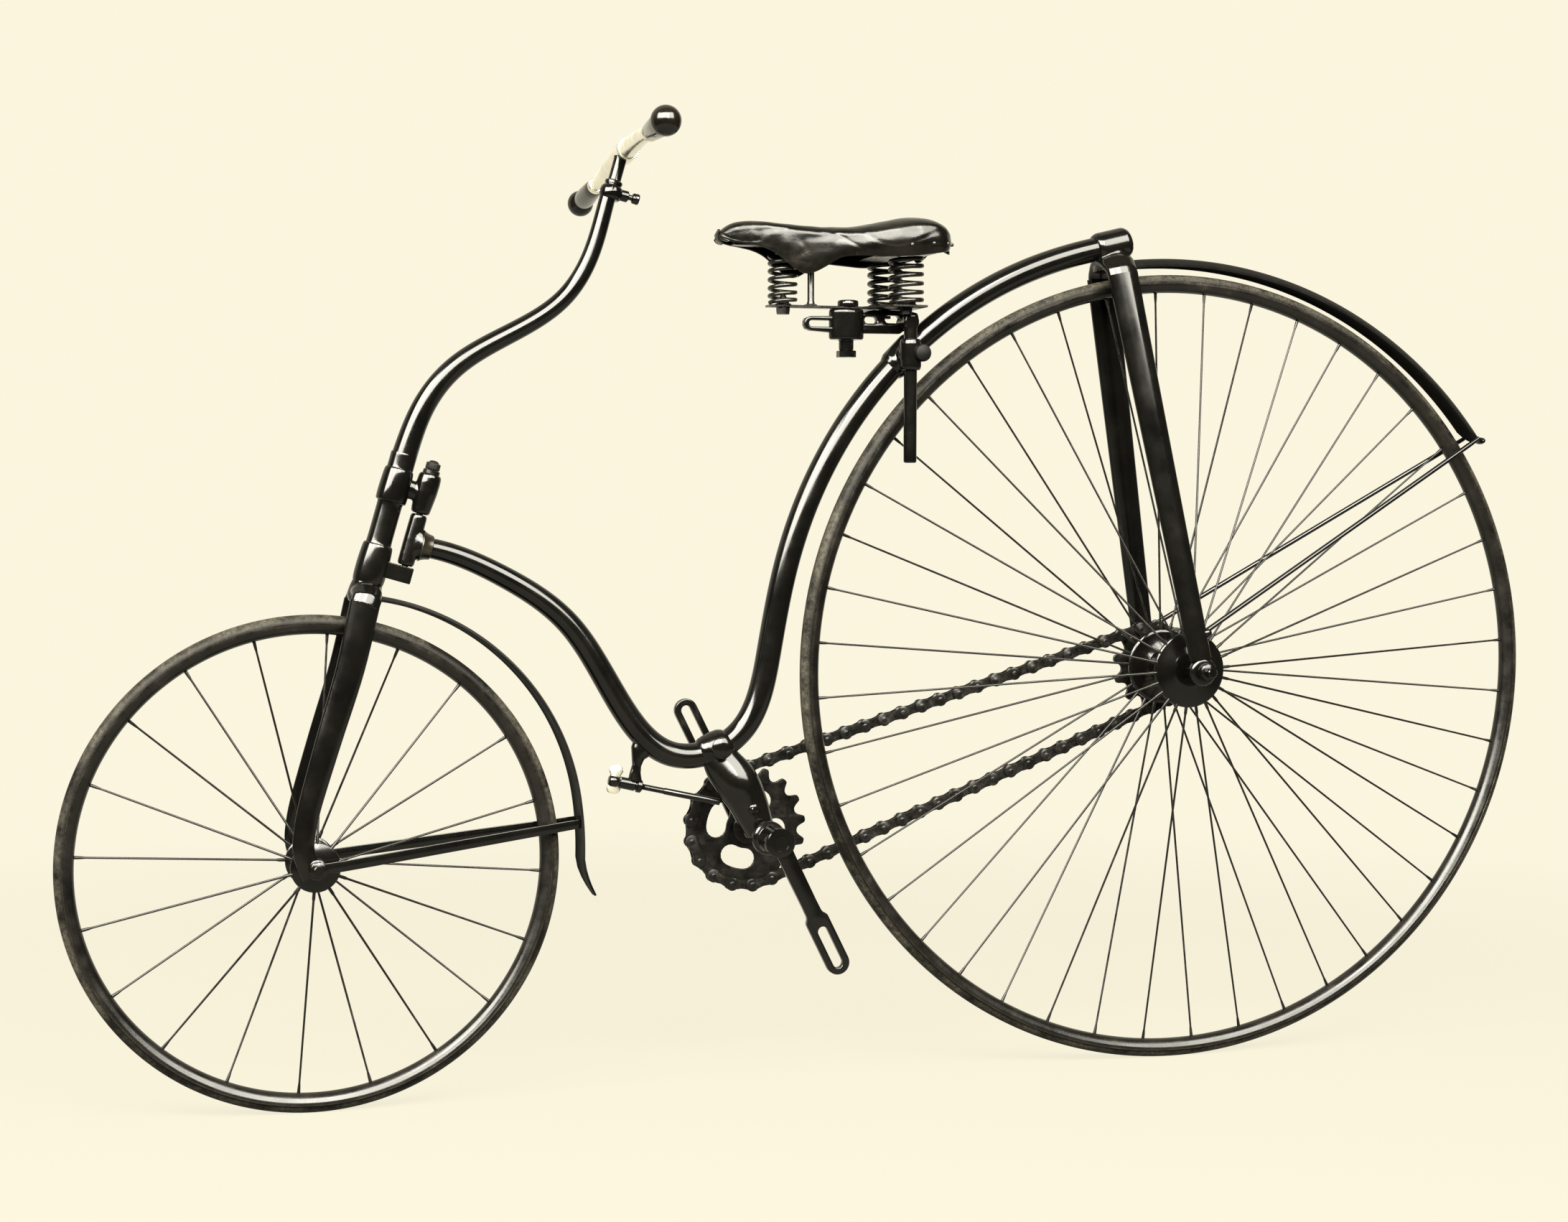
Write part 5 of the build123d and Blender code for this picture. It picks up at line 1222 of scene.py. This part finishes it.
LEATHER = [
    # x, half width, crown z, edge z, lower edge z, lower half width, roundness
    (587.0, 4.0, 993.6, 992.0, 990.4, 4.0, 0.50),
    (584.0, 9.0, 997.6, 992.4, 988.6, 8.6, 0.50),
    (577.0, 15.5, 1004.0, 994.0, 986.2, 14.6, 0.52),
    (566.0, 21.0, 1009.6, 997.0, 984.2, 20.0, 0.55),
    (550.0, 25.0, 1012.2, 999.0, 982.2, 24.0, 0.58),
    (536.0, 27.0, 1012.0, 999.0, 979.6, 26.4, 0.60),
    (522.0, 29.0, 1011.2, 998.0, 973.4, 26.8, 0.62),
    (508.0, 31.4, 1010.4, 997.0, 962.4, 28.6, 0.64),
    (496.0, 33.8, 1009.6, 996.0, 953.6, 30.4, 0.66),
    (485.0, 36.6, 1009.0, 995.0, 949.6, 33.0, 0.66),
    (474.0, 40.0, 1008.5, 994.0, 952.6, 37.0, 0.66),
    (461.0, 45.0, 1008.1, 993.0, 960.2, 43.0, 0.64),
    (449.0, 50.6, 1008.0, 992.0, 967.6, 49.0, 0.62),
    (436.0, 58.0, 1008.6, 992.0, 969.4, 56.6, 0.60),
    (420.0, 67.0, 1010.4, 993.0, 969.0, 64.0, 0.60),
    (402.0, 77.0, 1013.8, 995.0, 968.6, 72.6, 0.60),
    (384.0, 86.0, 1017.2, 998.0, 968.2, 80.6, 0.60),
    (366.0, 90.8, 1019.0, 999.5, 969.2, 84.6, 0.60),
    (350.0, 91.2, 1018.6, 999.5, 971.4, 84.6, 0.58),
    (338.0, 88.0, 1016.0, 998.0, 973.2, 81.0, 0.55),
    (328.0, 80.0, 1011.4, 995.0, 975.4, 73.0, 0.52),
    (321.0, 68.0, 1005.0, 991.0, 977.4, 61.0, 0.50),
    (316.0, 50.0, 997.5, 987.0, 979.0, 44.0, 0.50),
]


TOP_SHARE = 0.62  # how far across its top reaches; the flap goes on from there
HIDE_OUT = 0.9  # how far the hide's outer and inner faces lie under the rows above
HIDE_IN = 4.4


def leather_point(row, u):
    """A point across the saddle: u runs from -1 at its right lower edge to 1 at its left."""
    x, half, crown, edge, low, low_half, bulge = row
    side = 1 if u >= 0 else -1
    t = abs(u)
    if t <= TOP_SHARE:
        a = t / TOP_SHARE
        y = half * math.sin(a * math.pi / 2) ** (1.0 - 0.15 * bulge)
        z = edge + (crown - edge) * (1 - a ** (2.0 + 0.8 * bulge))
    else:
        a = (t - TOP_SHARE) / (1 - TOP_SHARE)
        y = half + (low_half - half) * a ** 2 + 1.6 * math.sin(a * math.pi) * (half / 60)
        z = edge + (low - edge) * a
    return Vector((x, side * y, z))


def leather_detail(p, u):
    """Creases, sag between the frame's edges and the soft lumps of old leather."""
    x, y, z = p
    d = 1.3 * noise.noise(Vector((x / 44.0, y / 36.0, z / 30.0)))
    d += 0.45 * noise.noise(Vector((x / 15.0 + 7, y / 14.0, z / 11.0)))
    ridge = abs(noise.noise(Vector((x / 60.0, y / 24.0 + z / 18.0, 3.1))))
    d -= 0.8 * max(0.0, 0.12 - ridge) / 0.12 * min(1.0, abs(u) * 1.6)
    hollow = math.exp(-((x - 445.0) / 60.0) ** 2) * math.exp(-(u / 0.16) ** 2)
    return d - 1.6 * hollow


def make_leather():
    """The saddle's leather top, as a closed hide of even thickness."""
    rows = spline_through(LEATHER, 5)
    columns = 72
    outer, inner = [], []
    for row in rows:
        line_out, line_in = [], []
        for j in range(columns + 1):
            u = -1 + 2 * j / columns
            p = leather_point(row, u)
            q = leather_point(row, u + 0.004)
            across = (q - p).normalized()
            normal = Vector((0, across.z, -across.y))
            if normal.length < 0.1:
                normal = Vector((0, 0, 1))
            if normal.dot(Vector((0, p.y, 40))) < 0:
                normal = -normal
            d = leather_detail(p, u)
            edge_fade = min(1.0, (1 - abs(u)) * 8)
            line_out.append(p + normal * (d * edge_fade - HIDE_OUT))
            line_in.append(p + normal * (d * edge_fade - HIDE_IN))
        outer.append(line_out)
        inner.append(line_in)
    rings = [a + list(reversed(b)) for a, b in zip(outer, inner)]
    shape = Shape().rings(rings)
    obj = new_object("worn_leather_top", shape, 60)
    mod = obj.modifiers.new("smooth", "SUBSURF")
    mod.levels = 1
    apply_modifiers(obj)
    finish_mesh(obj, 60)
    return obj


leather = make_leather()
finish_piece(leather, "frame", "saddle_leather", ["saddle_leather"])

studs = Shape()
for x, y, z in ((318, 62, 986), (330, 81, 985), (350, 90.5, 984), (376, 88.5, 982), (311.5, 24, 986)):
    for sign in (1, -1):
        studs.ball((x, sign * y, z), 2.4, squash=(1, 0.5, 1), rows=8, sides=14)
studs.tube([(579, 0, 984.6), (584.6, 0, 988.5), (586, 0, 995), (583, 0, 1001)],
           [(9, 1.6), (9.4, 1.6), (8, 1.6), (4, 1.4)], 16, up=(1, 0, 0))
piece("saddle_studs", studs, "frame", "spring_steel")


# ---------- studio ----------
CREAM = (0.965, 0.915, 0.735)
FLOOR_TONE = 0.013
FLOOR_GLOW = 0.88
FLOOR_X, FLOOR_Y, FLOOR_Z = 520.0, -100.0, -0.15
FLOOR_FADE = (1.1, 2.6)  # metres from the floor's centre over which it fades out
DRAPE_GLOW = 0.12
DRAPE_R = 6500.0


def empty_tree(owner):
    """An owner's node tree without any node."""
    owner.use_nodes = True
    owner.node_tree.nodes.clear()
    return owner.node_tree


def source(tree, kind, *values):
    """The output of a new shader node with its first inputs set."""
    node = tree.nodes.new(kind)
    for slot, value in zip(node.inputs, values):
        slot.default_value = value
    return node.outputs[0]


def joined(tree, kind, *sources, operation=None):
    """The output of a new node that takes other nodes' outputs."""
    node = tree.nodes.new(kind)
    if operation:
        node.operation = operation
    for slot, output in zip(node.inputs, sources):
        tree.links.new(output, slot)
    return node.outputs[0]


def show(tree, kind, shader):
    """Links a shader to a new output node."""
    tree.links.new(shader, tree.nodes.new(kind).inputs[0])


def seen_rays(tree):
    """One for rays from the camera, from gloss and through glass."""
    path = tree.nodes.new("ShaderNodeLightPath").outputs
    first = joined(tree, "ShaderNodeMath", path["Is Camera Ray"], path["Is Glossy Ray"], operation="MAXIMUM")
    return joined(tree, "ShaderNodeMath", first, path["Is Transmission Ray"], operation="MAXIMUM")


def make_world():
    """A cream world to look at that lights the bicycle only weakly."""
    world = bpy.data.worlds.new("studio")
    bpy.context.scene.world = world
    tree = empty_tree(world)
    seen = source(tree, "ShaderNodeBackground", (*CREAM, 1), 1.0)
    fill = source(tree, "ShaderNodeBackground", (1.0, 0.96, 0.86, 1), 0.20)
    mix = joined(tree, "ShaderNodeMixShader", seen_rays(tree), fill, seen)
    show(tree, "ShaderNodeOutputWorld", mix)


def make_floor():
    """A pale glowing floor that fades into the background."""
    sides = 48
    rings = []
    for r in (0.0, 400, 900, 1500, 2200, 3200, 4600):
        turns = [2 * math.pi * i / sides for i in range(sides)]
        rings.append([Vector((FLOOR_X + max(r, 1) * math.cos(a), FLOOR_Y + max(r, 1) * math.sin(a), FLOOR_Z))
                      for a in turns])
    faces = []
    for i in range(len(rings) - 1):
        a, b = i * sides, (i + 1) * sides
        for j in range(sides):
            k = (j + 1) % sides
            faces.append((a + j, b + j, b + k, a + k))
    floor = new_object("floor", Shape().add([p for row in rings for p in row], faces))
    mat = bpy.data.materials.new("studio_floor")
    tree = empty_tree(mat)
    cloth = source(tree, "ShaderNodeBsdfDiffuse", (*(FLOOR_TONE * c for c in CREAM), 1))
    glow = source(tree, "ShaderNodeEmission", (*CREAM, 1), FLOOR_GLOW)
    both = joined(tree, "ShaderNodeAddShader", cloth, glow)
    lit = joined(tree, "ShaderNodeMixShader", seen_rays(tree), cloth, both)
    distance = tree.nodes.new("ShaderNodeVectorMath")
    distance.operation = "DISTANCE"
    distance.inputs[1].default_value = place(FLOOR_X, FLOOR_Y, 0)
    tree.links.new(tree.nodes.new("ShaderNodeTexCoord").outputs["Object"], distance.inputs[0])
    edge = tree.nodes.new("ShaderNodeMapRange")
    edge.interpolation_type = "SMOOTHSTEP"
    edge.inputs["From Min"].default_value, edge.inputs["From Max"].default_value = FLOOR_FADE
    tree.links.new(distance.outputs["Value"], edge.inputs["Value"])
    clear = source(tree, "ShaderNodeBsdfTransparent")
    fade = joined(tree, "ShaderNodeMixShader", edge.outputs[0], lit, clear)
    show(tree, "ShaderNodeOutputMaterial", fade)
    floor.data.materials.append(mat)


def make_dark_side():
    """A dim dome behind the camera, seen only in reflections."""
    rings = []
    for i in range(17):
        up = math.radians(-24.0 + 114.0 * i / 16)
        flat = DRAPE_R * math.cos(up)
        turns = [math.radians(-22.0 + 224.0 * j / 48) for j in range(49)]
        rings.append([Vector((FLOOR_X + flat * math.cos(a), flat * math.sin(a),
                              500.0 + DRAPE_R * math.sin(up)))
                      for a in turns])
    dome = new_object("studio_dark_side", Shape().rings(rings, closed=False))
    drape = bpy.data.materials.new("studio_drape")
    tree = empty_tree(drape)
    glow = source(tree, "ShaderNodeEmission", (1.0, 0.94, 0.76, 1), DRAPE_GLOW)
    show(tree, "ShaderNodeOutputMaterial", glow)
    dome.data.materials.append(drape)
    dome.visible_camera = False
    dome.visible_diffuse = False
    dome.visible_shadow = False
    dome.visible_transmission = False


def area_light(name, spot, aim, size, power, colour):
    """A soft rectangular light that faces a point."""
    data = bpy.data.lights.new(name, "AREA")
    data.shape = "RECTANGLE"
    data.size, data.size_y = size
    data.energy = power
    data.color = colour
    obj = bpy.data.objects.new(name, data)
    bpy.context.collection.objects.link(obj)
    obj.location = spot
    obj.rotation_euler = (Vector(aim) - Vector(spot)).to_track_quat("-Z", "Y").to_euler()


make_world()
make_floor()
make_dark_side()
LIGHT_AWAY = 4.8
LIGHT_COLOUR = (1.0, 0.965, 0.86)
target = place(520, 0, 500)
SKYLIGHTS = [
    # name, direction round the upright, height angle, width, height, power
    ("key_left", 34.0, 33.0, 3.2, 2.6, 1350.0),
    ("key_middle", 73.0, 36.0, 3.5, 3.0, 1600.0),
    ("key_right", 112.0, 36.0, 3.3, 3.0, 1150.0),
]
for name, round_deg, up_deg, wide, high, power in SKYLIGHTS:
    a, b = math.radians(round_deg), math.radians(up_deg)
    way = Vector((math.cos(a) * math.cos(b), math.sin(a) * math.cos(b), math.sin(b)))
    area_light(name, target + way * LIGHT_AWAY, target, (wide, high), power, LIGHT_COLOUR)

# ---------- camera, fitted to the photograph ----------
data = bpy.data.cameras.new("camera")
data.sensor_fit = "HORIZONTAL"
data.sensor_width = 36.0
data.lens = 57.9626
data.clip_end = 60.0
camera = bpy.data.objects.new("camera", data)
bpy.context.collection.objects.link(camera)
right = Vector((-0.95717827, 0.2894875, 0.00259777))
down = Vector((0.00949703, 0.04036751, -0.99913977))
ahead = Vector((-0.28934334, -0.9563302, -0.04138817))
turn = Matrix((right, -down, -ahead)).transposed().to_4x4()
camera.matrix_world = Matrix.Translation(Vector((0.9623, 2.8407, -0.3266))) @ turn
bpy.context.scene.camera = camera

bpy.context.scene.view_settings.view_transform = "Standard"
bpy.context.view_layer.update()
